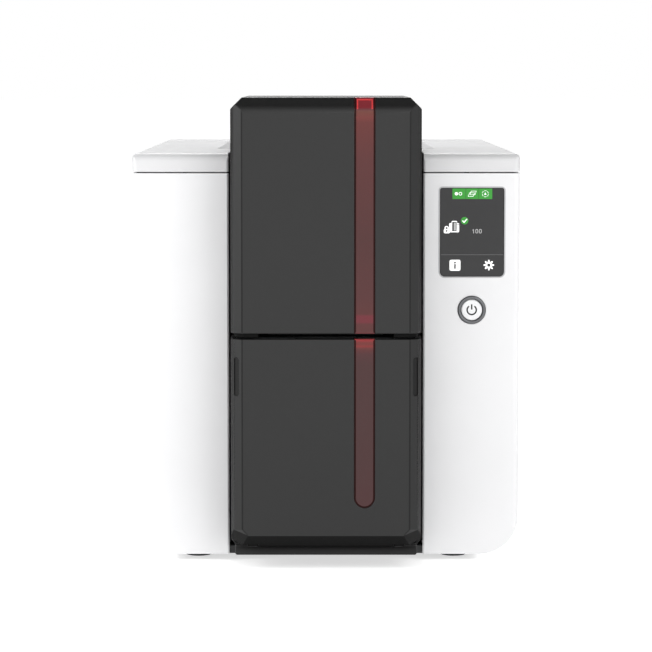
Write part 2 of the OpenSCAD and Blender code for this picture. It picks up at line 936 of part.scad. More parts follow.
// Card guide wall with its ribs, and the low rim of the deck
module feeder_side(side, top) {
    box([stack_half, stack_front, deck_z - 1], [stack_half + guide_t, stack_back + wall, top]);
    box([side - wall, col_front + 12, deck_z - 1], [side, col_back, deck_z + 12]);
    for (y = [stack_front, stack_front + 42, stack_back])
        along_y(y, y + wall) polygon([[stack_half + 1, deck_z - 1], [side - 1, deck_z - 1],
            [side - 1, deck_z + 10], [stack_half + 1, top - 6]]);
    box([stack_half + 5, stack_back, deck_z - 1], [side, stack_back + wall, deck_z + 12]);
    box([stack_half + 5, stack_back, deck_z - 1], [stack_half + 7, col_back, deck_z + 12]);
}

module hood_lug() {
    x0 = hood_lug_x - hood_lug_w / 2;
    x1 = hood_lug_x + hood_lug_w / 2;
    difference() {
        union() {
            rod_x(x0, x1, hood_hinge_y, hood_hinge_z, hood_lug_r);
            box([x0, hood_hinge_y - 3, hood_hinge_z - 24],
                [x1, col_back - wall + 0.2, hood_hinge_z]);
            along_x(x0, x1) polygon([[hood_hinge_y + 3, hood_hinge_z - 9],
                [hood_hinge_y + 3, hood_hinge_z - 60], [stack_back + 1, hood_hinge_z - 60],
                [stack_back + 1, hood_hinge_z - 24]]);
        }
        rod_x(x0 - 1, x1 + 1, hood_hinge_y, hood_hinge_z, hood_pin_r);
    }
}

// Slot in the feeder's back wall that the card weight's tongue runs in
module weight_slot() {
    box([-3, stack_back - 1, deck_z + 7], [3, stack_back + wall + 1, column_top - 21]);
}

// Slot for the thickness gauge's lever
module gauge_slot() {
    box([-24, stack_back - 1, column_top - 38], [-8, stack_back + wall + 1, column_top - 33]);
}

// Feed ramp above, exit ramp below and the splitter between them
module card_chute() {
    y0 = stack_back + wall + 0.2;
    y1 = front_y - roller_r - 2;
    low0 = path_z - 9;
    color("#303030") {
        along_x(-stack_half - 2, stack_half + 2) union() {
            polygon([[y0, low0 - 2.5], [y1, path_z - 4], [y1, path_z - 1.6], [y0, low0]]);
            polygon([[y0, path_z - 2], [y1 - 3, path_z - 0.4], [y1 - 3, path_z + 0.4],
                [y0, deck_z - 0.6]]);
            polygon([[y0, deck_z + 2], [y1, path_z + 1.6], [y1, path_z + 4],
                [y0, deck_z + 4.5]]);
        }
        both_sides() along_x(stack_half + 2, stack_half + 4) polygon([[y0, low0 - 2.5],
            [y1, path_z - 4], [y1, path_z + 4], [y0, deck_z + 4.5]]);
        both_sides() box([stack_half + 3.9, y1 - 6, path_z + 1], [plate_in, y1, path_z + 3]);
    }
}

module card_weight() {
    low = deck_z + 0.6;
    back = stack_back - 1;
    color("dimgray") {
        difference() {
            box([-stack_half + 1.5, stack_front + 2, low], [stack_half - 1.5, back, low + 6]);
            box([-stack_half + 6, stack_front + 6, low + 2], [stack_half - 6, back - 4, low + 7]);
        }
        box([-1.5, stack_front + 10, low + 1], [1.5, back - 6, low + 5]);
        along_x(-9, 9) soft_rect([feed_y - 10, low + 1], [feed_y + 10, low + 18], [0.5, 0.5, 4, 4]);
        box([-8, back - 4, low + 1], [8, back, low + 14]);
        box([-2.6, back - 1, low + 7.5], [2.6, stack_back + wall + 2.6, low + 13]);
        box([-5.5, stack_back + wall + 0.6, low + 5.4], [5.5, stack_back + wall + 2.6, low + 14]);
    }
}

module thickness_gauge() {
    y0 = stack_back + wall + 0.4;
    z = column_top - 35.5;
    color("orange") {
        box([-21, y0, z - 8], [-11, y0 + 1.5, z + 6]);
        box([-17.5, stack_back - 6, z - 2], [-14.5, y0 + 1, z + 2]);
        box([-18, y0, deck_z + 5], [-14, y0 + 1.5, z - 7]);
    }
}

module feed_motor() {
    x0 = stack_half + guide_t + 2;
    x1 = column_w / 2 - wall - 0.5;
    color("silver") difference() {
        union() {
            box([x0, feed_y - 9, feed_z - 9], [x1, feed_y + 9, feed_z + 2.5]);
            rod_z((x0 + x1) / 2, feed_y, feed_z - 36, feed_z - 8, 6);
            box([x0 - 2, feed_y - 12, feed_z - 12], [x0, feed_y + 12, feed_z + 2.5]);
        }
        rod_x(x0 - 3, x1 - 3, feed_y, feed_z, shaft_r - 0.5 + run_gap);
    }
}

module feed_roller() {
    color("#222222") {
        rod_x(-12, 12, feed_y, feed_z, feed_r);
        rod_x(-stack_half - guide_t - 2, stack_half + guide_t + 9, feed_y, feed_z, shaft_r - 0.5);
    }
}

// ---------- mechanism ----------

// Holes that both chassis plates share
module plate_holes() {
    for (p = [[front_y, drive_z], [platen_y, platen_z], [rear_y, drive_z]])
        translate(p) circle(bush_r);
    translate([clean_y, clean_z]) circle(2.5 + run_gap);
    for (p = [[chassis_front + 12, chassis_low + 40], [chassis_back - 22, chassis_low + 40]])
        translate(p) circle(9);
    translate([platen_y - 4.1, spool_z - 8]) square([8.2, 60]);
    translate([platen_y, spool_z - 8]) circle(4.1);
}

// Outline of a chassis plate with its two legs
module plate_outline() {
    difference() {
        union() {
            soft_rect([chassis_front, chassis_low], [chassis_back, chassis_top], [2, 2, 14, 14]);
            translate([chassis_front, tray_top]) square([16, 100]);
            translate([chassis_back - 16, tray_top]) square([16, 100]);
            translate([platen_y - 24, motor_z - 24]) square([48, chassis_low - motor_z + 25]);
        }
        plate_holes();
    }
}

// Right plate, with the feet bent inwards
module plate() {
    difference() {
        union() {
            along_x(plate_in, plate_out) plate_outline();
            for (y = [chassis_front, chassis_back - 16])
                box([plate_in - 11, y, tray_top], [plate_in + 0.1, y + 16, tray_top + plate_t]);
        }
        for (y = [chassis_front + 8, chassis_back - 8])
            rod_z(plate_in - 5, y, 0, 30, 1.5);
    }
}

module chassis_right() {
    color("silver") plate();
}

module chassis_left() {
    color("silver") difference() {
        mirror([1, 0, 0]) plate();
        rod_x(-plate_out - 1, -plate_in + 1, platen_y, motor_z, 11.2);
        rod_x(-plate_out - 1, -plate_in + 1, takeup_y, spool_z, journal_r + run_gap);
        for (y = [-15.5, 15.5]) for (z = [-15.5, 15.5])
            rod_x(-plate_out - 1, -plate_in + 1, platen_y + y, motor_z + z, 1.6);
    }
}

module chassis_rods() {
    color("silver") for (p = [[chassis_front + 8, chassis_low + 8], [chassis_back - 8,
            chassis_low + 8], [chassis_back - 8, spool_z + 4]])
        rod_x(-plate_in, plate_in, p[0], p[1], 3);
}

module roller_bushes() {
    color("goldenrod") for (p = [[front_y, drive_z], [platen_y, platen_z], [rear_y, drive_z]])
        both_sides() difference() {
            union() {
                rod_x(plate_in - 0.1, plate_out + 0.8, p[0], p[1], bush_r);
                rod_x(plate_in - 1.5, plate_in, p[0], p[1], bush_r + 1.5);
            }
            rod_x(plate_in - 3, plate_out + 3, p[0], p[1], shaft_r + run_gap);
        }
}

// A transport roller with its journals and belt pulley
module transport_roller(y) {
    rod_x(-film_w / 2 + 1, film_w / 2 - 1, y, drive_z, roller_r);
    rod_x(belt_x - belt_w / 2 - 2, plate_out + 1.6, y, drive_z, shaft_r);
    pulley(y, drive_z, small_pulley_r);
}

module pulley(y, z, r) {
    rod_x(belt_x - belt_w / 2 - 0.2, belt_x + belt_w / 2 + 0.2, y, z, r);
    rod_x(belt_x - belt_w / 2 - 1.4, belt_x - belt_w / 2 - 0.2, y, z, r + 1.6);
    rod_x(belt_x + belt_w / 2 + 0.2, belt_x + belt_w / 2 + 1.4, y, z, r + 1.6);
}

module front_roller() {
    color("#333333") transport_roller(front_y);
}

module rear_roller() {
    color("#333333") transport_roller(rear_y);
}

module platen_roller() {
    color("#222222") difference() {
        rod_x(-film_w / 2, film_w / 2, platen_y, platen_z, platen_r);
        rod_x(-film_w, film_w, platen_y, platen_z, shaft_r);
    }
}

module platen_shaft() {
    color("silver") {
        rod_x(belt_x - belt_w / 2 - 2, plate_out + 1.6, platen_y, platen_z, shaft_r);
        pulley(platen_y, platen_z, platen_pulley_r);
    }
}

module cleaning_roller() {
    color("steelblue") {
        rod_x(-28, 28, clean_y, clean_z, clean_r);
        rod_x(-plate_out, plate_out, clean_y, clean_z, 2.5);
    }
}

module pinch_roller(y) {
    rod_x(-24, 24, y, pinch_z, pinch_r);
    rod_x(-33.5, 33.5, y, pinch_z, 2);
}

module front_pinch() {
    color("#333333") pinch_roller(front_y);
}

module rear_pinch() {
    color("#333333") pinch_roller(rear_y);
}

// Bridges that carry the pinch rollers between the chassis plates
module pinch_holders() {
    color("dimgray") for (y = [front_y, rear_y]) {
        box([-plate_in, y - 7, pinch_z + 6], [plate_in, y + 7, pinch_z + 8]);
        both_sides() difference() {
            box([30, y - 7, path_z + 1.8], [32.5, y + 7, pinch_z + 6.1]);
            rod_x(20, 40, y, pinch_z, 2 + run_gap);
        }
    }
}

// Grooved floor of the card path, with windows for the rollers
module lower_guide() {
    y0 = front_y - 4;
    y1 = chassis_back - 2;
    top = path_z - card_t / 2 - 0.5;
    rail_x = film_w / 2 + 1.5;
    color("#303030") difference() {
        union() {
            box([-rail_x - 2, y0, top - 2], [rail_x + 2, y1, top]);
            both_sides() box([rail_x, y0, top - 2], [rail_x + 2, y1, top + 1.5]);
            both_sides() for (y = [platen_y - 40, chassis_back - 12])
                box([rail_x + 1.9, y, top - 2], [plate_in, y + 8, top]);
            for (x = [-20, -10, 0, 10, 20])
                box([x - 0.6, y0 + 1, top - 5], [x + 0.6, y1 - 1, top - 1]);
        }
        for (w = [[front_y, roller_r], [platen_y, platen_r], [rear_y, roller_r]])
            box([-rail_x + 0.9, w[0] - w[1] - 1, top - 20], [rail_x - 0.9, w[0] + w[1] + 1, top + 4]);
    }
}

// Closed channel from the card path to the slot in the rear cover
module rear_chute() {
    y0 = chassis_back - 1.5;
    y1 = body_back - wall - 0.2;
    x = card_w / 2 + 2;
    color("#303030") {
        difference() {
            box([-x - wall, y0, path_z - 3 - wall], [x + wall, y1, path_z + 3 + wall]);
            box([-x, y0 - 1, path_z - 3], [x, y1 + 1, path_z + 3]);
        }
        both_sides() box([x + wall - 0.1, y0, path_z - 3 - wall], [plate_in, y0 + 1.5, path_z + 6]);
    }
}

// Belt outline: unit vector at an angle
function ray(a) = [cos(a), sin(a)];

// Angle of the belt's outward normal on the span from pulley i to the next, run clockwise
function span_angle(c, r, i) = let (j = (i + 1) % len(c), d = c[j] - c[i])
    atan2(d[1], d[0]) + acos((r[i] - r[j]) / norm(d));

// Points around one pulley, from the span that comes in to the span that leaves
function wrap_points(c, r, i) = let (a = span_angle(c, r, (i + len(c) - 1) % len(c)),
    turn = (a - span_angle(c, r, i) + 720) % 360, n = ceil(turn / 6))
    [for (k = [0:n]) c[i] + r[i] * ray(a - turn * k / n)];

module belt_outline(grow) {
    c = [[front_y, drive_z], [platen_y, platen_z], [rear_y, drive_z], [platen_y, motor_z]];
    r = [small_pulley_r + grow, platen_pulley_r + grow, small_pulley_r + grow,
        small_pulley_r + grow];
    polygon([for (i = [0:3]) each wrap_points(c, r, i)]);
}

module drive_belt() {
    color("#111111") along_x(belt_x - belt_w / 2, belt_x + belt_w / 2) difference() {
        belt_outline(belt_gap + belt_t);
        belt_outline(belt_gap);
    }
}

// Square stepper motor inside the left plate
module transport_motor() {
    x0 = -plate_in;
    x1 = x0 + 34;
    s = 21;
    color("silver") {
        difference() {
            along_x(x0, x1) polygon([[platen_y - s, motor_z - s + 4], [platen_y - s + 4, motor_z - s],
                [platen_y + s - 4, motor_z - s], [platen_y + s, motor_z - s + 4],
                [platen_y + s, motor_z + s - 4], [platen_y + s - 4, motor_z + s],
                [platen_y - s + 4, motor_z + s], [platen_y - s, motor_z + s - 4]]);
            for (x = [x0 + 8, x1 - 10])
                difference() {
                    box([x, platen_y - 30, motor_z - 30], [x + 2, platen_y + 30, motor_z + 30]);
                    box([x - 1, platen_y - 20, motor_z - 20], [x + 3, platen_y + 20, motor_z + 20]);
                }
            rod_x(x0 - 3, x0 + 20, platen_y, motor_z, 2.5 + run_gap);
        }
        difference() {
            rod_x(x0 - 1.8, x0 + 0.1, platen_y, motor_z, 11);
            rod_x(x0 - 3, x0 + 1, platen_y, motor_z, 2.5 + run_gap);
        }
    }
}

module motor_pulley() {
    color("silver") {
        rod_x(belt_x - belt_w / 2 - 2, -plate_in + 18, platen_y, motor_z, 2.5);
        pulley(platen_y, motor_z, small_pulley_r);
    }
}

// ---------- ribbon ----------

// Spur gear outline with straight-flanked teeth; turn 0 has a tooth on the Y axis
module gear_outline(teeth, turn) {
    rp = gear_m * teeth / 2;
    root = rp - 1.25 * gear_m;
    tip = rp + 0.92 * gear_m;
    step = 360 / teeth;
    wide = step * 0.33;
    mid = step * 0.225;
    narrow = step * 0.1;
    polygon([for (i = [0:teeth - 1]) for (p = [[root, -wide], [rp, -mid], [tip, -narrow],
            [tip, narrow], [rp, mid], [root, wide]])
        p[0] * ray(i * step + turn + p[1])]);
}

module takeup_gear() {
    color("white") difference() {
        union() {
            translate([0, takeup_y, spool_z]) along_x(gear_x, gear_x + gear_w)
                gear_outline(gear_teeth, pinion_angle);
            rod_x(gear_x - 2, -plate_in + 0.4, takeup_y, spool_z, journal_r);
        }
        for (a = [0:60:300]) translate([0, takeup_y, spool_z]) rotate([a, 0, 0])
            rod_x(gear_x - 1, gear_x + gear_w + 1, 9, 0, 2.4);
    }
}

module ribbon_pinion() {
    turn = pinion_angle + 180 + 180 / pinion_teeth;
    color("goldenrod") {
        translate([0, pinion_y, pinion_z]) along_x(gear_x - 0.5, gear_x + gear_w + 0.5)
            gear_outline(pinion_teeth, turn);
        rod_x(gear_x - 14, gear_x + gear_w + 1, pinion_y, pinion_z, 1.5);
    }
}

// Small motor on two pillars outside the left plate
module ribbon_motor() {
    x1 = gear_x - 2.5;
    color("silver") difference() {
        union() {
            rod_x(x1 - 24, x1, pinion_y, pinion_z, 12);
            translate([0, pinion_y, pinion_z]) rotate([pinion_angle + 90, 0, 0])
                for (s = [-1, 1]) {
                    rod_x(x1 - 2, -plate_out, s * 16, 0, 2.5);
                    box([x1 - 2, s * 12 - 6, -4], [x1, s * 12 + 6, 4]);
                }
        }
        rod_x(x1 - 16, x1 + 1, pinion_y, pinion_z, 1.5 + run_gap);
    }
}

module spool(y) {
    rod_x(-film_w / 2, film_w / 2, y, spool_z, 7);
    for (s = [-1, 1]) rod_x(s * (film_w / 2 + 0.9) - 0.7, s * (film_w / 2 + 0.9) + 0.7, y,
        spool_z, 9);
    rod_x(-plate_in + 0.6, plate_in - 0.6, y, spool_z, journal_r);
}

module supply_spool() {
    color("white") spool(supply_y);
}

module takeup_spool() {
    color("white") {
        spool(takeup_y);
        rod_x(-film_w / 2 + 1, film_w / 2 - 1, takeup_y, spool_z, takeup_r);
    }
}

module supply_roll() {
    color("#302018") difference() {
        rod_x(-film_w / 2 + 0.1, film_w / 2 - 0.1, supply_y, spool_z, supply_r);
        rod_x(-film_w, film_w, supply_y, spool_z, 7);
    }
}

// Side plates of the ribbon cassette, its cross bars and the pegs that seat it
module ribbon_cassette() {
    x0 = cassette_in;
    x1 = cassette_in + cassette_t;
    color("#d8d8d8") {
        both_sides() difference() {
            union() {
                along_x(x0, x1) union() {
                    translate([supply_y, spool_z]) circle(13);
                    translate([takeup_y, spool_z]) circle(13);
                    polygon([[takeup_y, spool_z - 13], [platen_y - 30, bar_z - 3],
                        [platen_y + 30, bar_z - 3], [supply_y, spool_z - 13],
                        [supply_y, spool_z + 6], [takeup_y, spool_z + 6]]);
                }
                rod_x(x1 - 0.1, plate_out + 1, platen_y, spool_z - 8, 4);
            }
            for (y = [supply_y, takeup_y])
                rod_x(x0 - 1, x1 + 1, y, spool_z, journal_r + run_gap);
            rod_x(x0 - 1, x1 + 1, platen_y - 20, spool_z - 12, 5);
            rod_x(x0 - 1, x1 + 1, platen_y + 20, spool_z - 12, 5);
        }
        for (y = [platen_y - 24, platen_y + 24]) rod_x(-x0 - 0.1, x0 + 0.1, y, bar_z, 1.5);
    }
}

// Thin film from the supply roll, under the head, to the take-up roll
module ribbon_film() {
    t = 0.15;
    b = bar_z - 1.5 - 0.2;
    path = [[supply_y - supply_r - 0.3, spool_z], [platen_y + 25.9, bar_z],
        [platen_y + 25.2, b], [platen_y, film_low], [platen_y - 25.2, b],
        [platen_y - 25.9, bar_z], [takeup_y + takeup_r + 0.3, spool_z]];
    color("#281818") along_x(-film_w / 2 + 1, film_w / 2 - 1)
        polygon(concat(path, [for (i = [len(path) - 1:-1:0])
            path[i] + t * [sign(path[i][0] - platen_y), -1]]));
}

// ---------- electronics ----------

module main_board() {
    y0 = platen_y + 6;
    y1 = body_back - wall - 1;
    color("seagreen") {
        box([board_x, y0, tray_rim], [board_x + 1.6, y1, 128]);
        for (y = [y0 + 10, y0 + 55]) for (z = [98, 122])
            rod_x(plate_out, board_x + 0.1, y, z, 2.4);
        box([board_x + 1.5, y0 + 20, 84], [board_x + 4, y0 + 44, 108]);
        box([board_x + 1.5, y0 + 60, 86], [board_x + 3.5, y0 + 74, 100]);
        for (i = [0:2]) rod_x(board_x + 1.5, board_x + 15, y0 + 18 + i * 14, 34, 5);
        box([board_x + 1.5, y0 + 8, 52], [board_x + 10, y0 + 40, 60]);
    }
}

module power_inlet() {
    y1 = body_back - 0.3;
    color("#202020") difference() {
        union() {
            box([board_x + 1.6, y1 - 14, inlet_z - 6], [port_x + 6, body_back - wall - 0.2, inlet_z + 6]);
            rod_y(port_x, y1 - 8, y1, inlet_z, 5);
        }
        rod_y(port_x, y1 - 10, y1 + 1, inlet_z, 3.2);
    }
    color("silver") rod_y(port_x, y1 - 11, y1 - 1, inlet_z, 1.25);
}

// Metal cans of the USB and network sockets
module data_sockets() {
    y1 = body_back - 0.4;
    color("silver") {
        difference() {
            box([board_x + 1.6, y1 - 16, usb_z - 5.4], [port_x + 6, y1, usb_z + 5.4]);
            box([port_x - 4.3, y1 - 10, usb_z - 4], [port_x + 4.2, y1 + 1, usb_z + 4]);
        }
        box([port_x - 2.8, y1 - 11, usb_z - 1.6], [port_x + 2.8, y1 - 1, usb_z + 1.6]);
        difference() {
            box([board_x + 1.6, y1 - 16, network_z - 8], [port_x + 8, y1, network_z + 8]);
            box([port_x - 2.4, y1 - 12, network_z - 5.9], [port_x + 5.6, y1 + 1, network_z + 5.9]);
        }
    }
}

module fan_frame() {
    y1 = body_back - wall - 0.2;
    y0 = y1 - 10;
    h = fan_s / 2;
    color("#202020") {
        difference() {
            along_y(y0, y1) soft_rect([fan_x - h, fan_z - h], [fan_x + h, fan_z + h], [3, 3, 3, 3]);
            rod_y(fan_x, y0 - 1, y1 + 1, fan_z, h - 1.2);
            for (x = [-16, 16]) for (z = [-16, 16])
                rod_y(fan_x + x, y0 - 1, y1 + 1, fan_z + z, 1.7);
        }
        for (a = [0:90:270]) translate([fan_x, 0, fan_z]) rotate([0, a + 45, 0])
            box([6, y0, -1], [h - 0.8, y0 + 1.2, 1]);
        difference() {
            rod_y(fan_x, y0, y0 + 1.6, fan_z, 8);
            rod_y(fan_x, y0 - 1, y0 + 2, fan_z, 1.5 + run_gap);
        }
    }
}

module fan_rotor() {
    y1 = body_back - wall - 1;
    y0 = y1 - 7;
    color("#303030") {
        rod_y(fan_x, y0, y1, fan_z, 8);
        rod_y(fan_x, y0 - 2, y0 + 1, fan_z, 1.5);
        for (a = [0:360 / 7:359]) translate([fan_x, (y0 + y1) / 2, fan_z]) rotate([0, a, 0])
            rotate([38, 0, 0]) box([7.5, -3.2, -0.6], [17.6, 3.2, 0.6]);
    }
}

module control_board() {
    y = control_y;
    color("seagreen") {
        box([screen_x - board_half, y, button_z - 12],
            [screen_x + board_half, y + 1.6, screen_z + 25]);
        box([screen_x - screen_w / 2 - 0.8, body_front + wall + 0.8, screen_z - screen_h / 2 - 1],
            [screen_x + screen_w / 2 + 0.8, y + 0.1, screen_z + screen_h / 2 + 1]);
        rod_y(screen_x, y - 1.5, y + 0.1, button_z, 5.6);
    }
}

module screen_glass() {
    color("#303030") screen_hole(body_front + 0.4, body_front + wall + 0.8, 0);
}

module button_ring() {
    color("#555555") difference() {
        union() {
            rod_y(screen_x, body_front - 0.6, body_front + wall, button_z, ring_r);
            rod_y(screen_x, body_front + wall, body_front + wall + 1.2, button_z, ring_r + 1.5);
        }
        rod_y(screen_x, body_front - 2, body_front + 8, button_z, button_r + 0.2);
    }
}

module power_button() {
    color("white") {
        rod_y(screen_x, body_front - 0.2, body_front + 3.4, button_z, button_r);
        rod_y(screen_x, body_front + 3.3, body_front + 5, button_z, 2);
    }
}

// Coil spring between the button and the board, as its rings
module button_spring() {
    y0 = body_front + 3.4;
    y1 = control_y - 1.5;
    rings = 5;
    color("silver") for (i = [0:rings - 1])
        translate([screen_x, y0 + 0.35 + i * (y1 - y0 - 0.7) / (rings - 1), button_z])
            rotate([90, 0, 0]) rotate_extrude($fn = 32) translate([3.6, 0]) circle(0.35, $fn = 16);
}

module hinge_pins() {
    color("silver") both_sides() {
        rod_x(knuckle_x - knuckle_w, knuckle_x + knuckle_w, lid_hinge_y, lid_hinge_z, pin_r);
        rod_x(hood_lug_x - hood_lug_w, hood_pin_end, hood_hinge_y, hood_hinge_z, hood_pin_r);
        rod_x(tongue_w / 2 - 8, tongue_w / 2 + 5.8, door_hinge_y, door_hinge_z, pin_r);
    }
}
base_tray();
left_shell();
right_shell();
rear_cover();
rubber_feet();
base_screws();
output_bin();
feeder_frame();
card_chute();
lower_guide();
pinch_holders();
rear_chute();
chassis_left();
chassis_right();
chassis_rods();
roller_bushes();
transport_motor();
ribbon_motor();
feed_motor();
drive_belt();
main_board();
power_inlet();
data_sockets();
fan_frame();
control_board();
screen_glass();
button_ring();
button_spring();
ribbon_cassette();
ribbon_film();
hinge_pins();
lid_shell();
lid_liner();
head_bracket();
print_head();
heat_sink();
feeder_cover();
upper_light_bar();
output_door();
door_liner();
lower_light_bar();
card_weight();
thickness_gauge();
power_button();
feed_roller();
front_roller();
platen_roller();
platen_shaft();
rear_roller();
cleaning_roller();
front_pinch();
rear_pinch();
motor_pulley();
supply_spool();
supply_roll();
takeup_spool();
takeup_gear();
ribbon_pinion();
fan_rotor();
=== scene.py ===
import json
import math
import bmesh
import bpy
from mathutils import Matrix, Vector


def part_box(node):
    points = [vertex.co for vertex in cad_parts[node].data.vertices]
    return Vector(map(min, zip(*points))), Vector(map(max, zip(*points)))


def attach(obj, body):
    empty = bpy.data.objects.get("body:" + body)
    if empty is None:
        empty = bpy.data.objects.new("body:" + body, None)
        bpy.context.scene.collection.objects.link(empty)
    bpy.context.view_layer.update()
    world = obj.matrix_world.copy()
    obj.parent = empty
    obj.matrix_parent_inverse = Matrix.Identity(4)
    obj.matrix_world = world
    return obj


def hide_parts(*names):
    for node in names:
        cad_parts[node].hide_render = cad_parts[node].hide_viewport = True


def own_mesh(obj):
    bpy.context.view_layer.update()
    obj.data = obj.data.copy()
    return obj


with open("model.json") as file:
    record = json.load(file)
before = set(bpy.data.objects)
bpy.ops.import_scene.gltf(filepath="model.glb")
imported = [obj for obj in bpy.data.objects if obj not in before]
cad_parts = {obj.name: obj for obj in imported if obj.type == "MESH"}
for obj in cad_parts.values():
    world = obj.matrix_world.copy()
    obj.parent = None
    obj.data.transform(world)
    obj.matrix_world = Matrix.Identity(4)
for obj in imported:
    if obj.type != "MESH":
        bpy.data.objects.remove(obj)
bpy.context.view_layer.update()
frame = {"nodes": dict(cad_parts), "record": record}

nodes = frame["nodes"]
record = frame["record"]
mm = 0.001
slotOf = {part["node"]: part["material_slot"] for part in record["subparts"]}
bodyOf = {name: body for body, names in record["behaviour"]["bodies"].items() for name in names}


def newObject(name, data):
    thing = bpy.data.objects.new(name, data)
    bpy.context.scene.collection.objects.link(thing)
    return thing


# camera far in front of the card column, a little over the lid and tipped down
studioView = {"distance": 1681, "height": 257.46, "pitch": 4.928, "lens": 159.77, "farClip": 100}
cameraData = bpy.data.cameras.new("studioCamera")
cameraData.lens = studioView["lens"]
cameraData.clip_end = studioView["farClip"]
camera = newObject("studioCamera", cameraData)
camera.location = (0, -studioView["distance"] * mm, studioView["height"] * mm)
camera.rotation_euler = (math.radians(90 - studioView["pitch"]), 0, 0)
bpy.context.scene.camera = camera
bpy.context.scene.view_settings.view_transform = "Standard"


def boxOf(node):  # a node's lowest and highest corner in millimetres
    return [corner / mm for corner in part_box(node)]


def middleOf(node):  # its centre in millimetres
    low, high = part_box(node)
    return (low + high) / 2 / mm


def toLinear(hexText, factor=1):  # sRGB hex to the linear colour of shaders, lighter or darker by a factor
    channels = [int(hexText[i:i + 2], 16) / 255 for i in (1, 3, 5)]
    linear = [c / 12.92 if c <= 0.04045 else ((c + 0.055) / 1.055) ** 2.4 for c in channels]
    return tuple(min(1, c * factor) for c in linear) + (1,)


def fed(node, inputs):  # each input gets a value, or a link from a socket or from a node's first output
    for key, value in inputs.items():
        if isinstance(value, bpy.types.Node):
            value = value.outputs[0]
        if isinstance(value, bpy.types.NodeSocket):
            node.id_data.links.new(value, node.inputs[key])
        else:
            node.inputs[key].default_value = value
    return node


def addNode(tree, kind, inputs, **settings):
    node = tree.nodes.new(kind)
    for key, value in settings.items():
        setattr(node, key, value)
    return fed(node, inputs)


def newFinish(name, shaderInputs):
    material = bpy.data.materials.new(name)
    material.use_nodes = True
    tree = material.node_tree
    place = addNode(tree, "ShaderNodeTexCoord", {}).outputs["Object"]
    return material, tree, fed(tree.nodes["Principled BSDF"], shaderInputs), place


def speckled(made, sizeMm, detail=2.0, stretch=(1, 1, 1)):  # noise whose grains are sizeMm across
    material, tree, shader, place = made
    laid = addNode(tree, "ShaderNodeMapping", {"Scale": stretch, "Vector": place})
    return addNode(tree, "ShaderNodeTexNoise", {"Scale": 1 / (sizeMm * mm), "Detail": detail, "Vector": laid})


def ringed(made, sizeMm, detail, centre, turnAxis):  # uneven rings, sizeMm wide, round an axis through centre
    material, tree, shader, place = made
    middle = addNode(tree, "ShaderNodeMapping", {"Location": tuple(-c for c in centre), "Vector": place})
    flat = addNode(tree, "ShaderNodeVectorMath", {
        0: middle, 1: [float(c != turnAxis) for c in "xyz"]}, operation="MULTIPLY")
    away = addNode(tree, "ShaderNodeVectorMath", {0: flat}, operation="LENGTH").outputs["Value"]
    return addNode(tree, "ShaderNodeTexNoise", {
        "Scale": 1 / (sizeMm * mm), "Detail": detail, "W": away}, noise_dimensions="1D")


# Lays patterns on a finish. Tone is a pattern and the colours it runs through, each with its position and
# perhaps a factor, gloss a pattern and the roughness at its two ends, relief a pattern and its depth
def patterned(made, tone, gloss=None, relief=None, interpolation="LINEAR"):
    material, tree, shader, place = made
    pattern, stops = tone
    ramp = addNode(tree, "ShaderNodeValToRGB", {"Fac": pattern})
    ramp.color_ramp.interpolation = interpolation
    elements = ramp.color_ramp.elements
    while len(elements) < len(stops):
        elements.new(0.5)
    for element, (position, *colour) in zip(elements, stops):
        element.position = position
        element.color = toLinear(*colour)
    fed(shader, {"Base Color": ramp})
    if gloss:
        spread = dict(zip(("Value", "To Min", "To Max", "From Min", "From Max"), gloss))
        fed(shader, {"Roughness": addNode(tree, "ShaderNodeMapRange", spread)})
    if relief:
        height, depthMm = relief
        fed(shader, {"Normal": addNode(tree, "ShaderNodeBump", {"Height": height, "Distance": depthMm * mm})})
    return material


# A finish of one pattern, for its gloss and relief, and for its tone if that has none of its own. Grain and
# toneGrain are a size in millimetres and perhaps the noise's detail and stretch
def grained(name, shaderInputs, grain, stops, gloss, reliefMm=0, toneGrain=None):
    made = newFinish(name, shaderInputs)
    pattern = speckled(made, *grain)
    tone = speckled(made, *toneGrain) if toneGrain else pattern
    return patterned(made, (tone, stops), (pattern, *gloss), reliefMm and (pattern, reliefMm))


# Injection-moulded ABS, from a tool with a spark-eroded face: an even satin whose grain breaks up
# every reflection. The grain is a third of a millimetre and is drawn at sizes that still show, and
# broad flow marks vary the gloss a little
def mouldedAbs(name, hexColour, roughness, grainMm=0.55, grainDepth=0.014, flow=0.03, ior=1.5):
    material, tree, shader, place = made = newFinish(name, {"Roughness": roughness, "IOR": ior})
    coarse = addNode(tree, "ShaderNodeMath", {0: speckled(made, grainMm * 4), 1: 0.35}, operation="MULTIPLY")
    grain = addNode(tree, "ShaderNodeMath", {
        0: speckled(made, grainMm, detail=3), 1: coarse}, operation="ADD")
    return patterned(made, (speckled(made, 45, detail=3), [(0.3, hexColour, 1 - flow), (0.7, hexColour)]),
                     (grain, roughness - 0.06, roughness + 0.08, 0.3, 1.0), (grain, grainDepth))


# Zinc-plated sheet steel, rolled: soft spangle some millimetres wide over fine rolling lines
def zincSheet(name, hexColour="#a9adb0", roughness=0.36, spangleMm=3.5):
    material, tree, shader, place = made = newFinish(name, {"Roughness": roughness, "Metallic": 1.0})
    spangle = addNode(tree, "ShaderNodeTexVoronoi", {"Scale": 1 / (spangleMm * mm), "Vector": place})
    lines = speckled(made, 0.6, stretch=(1, 0.04, 1))
    return patterned(made, (spangle.outputs["Color"], [(0.1, hexColour, 0.78), (0.9, hexColour)]),
                     (lines, roughness - 0.12, roughness + 0.14), (lines, 0.006))


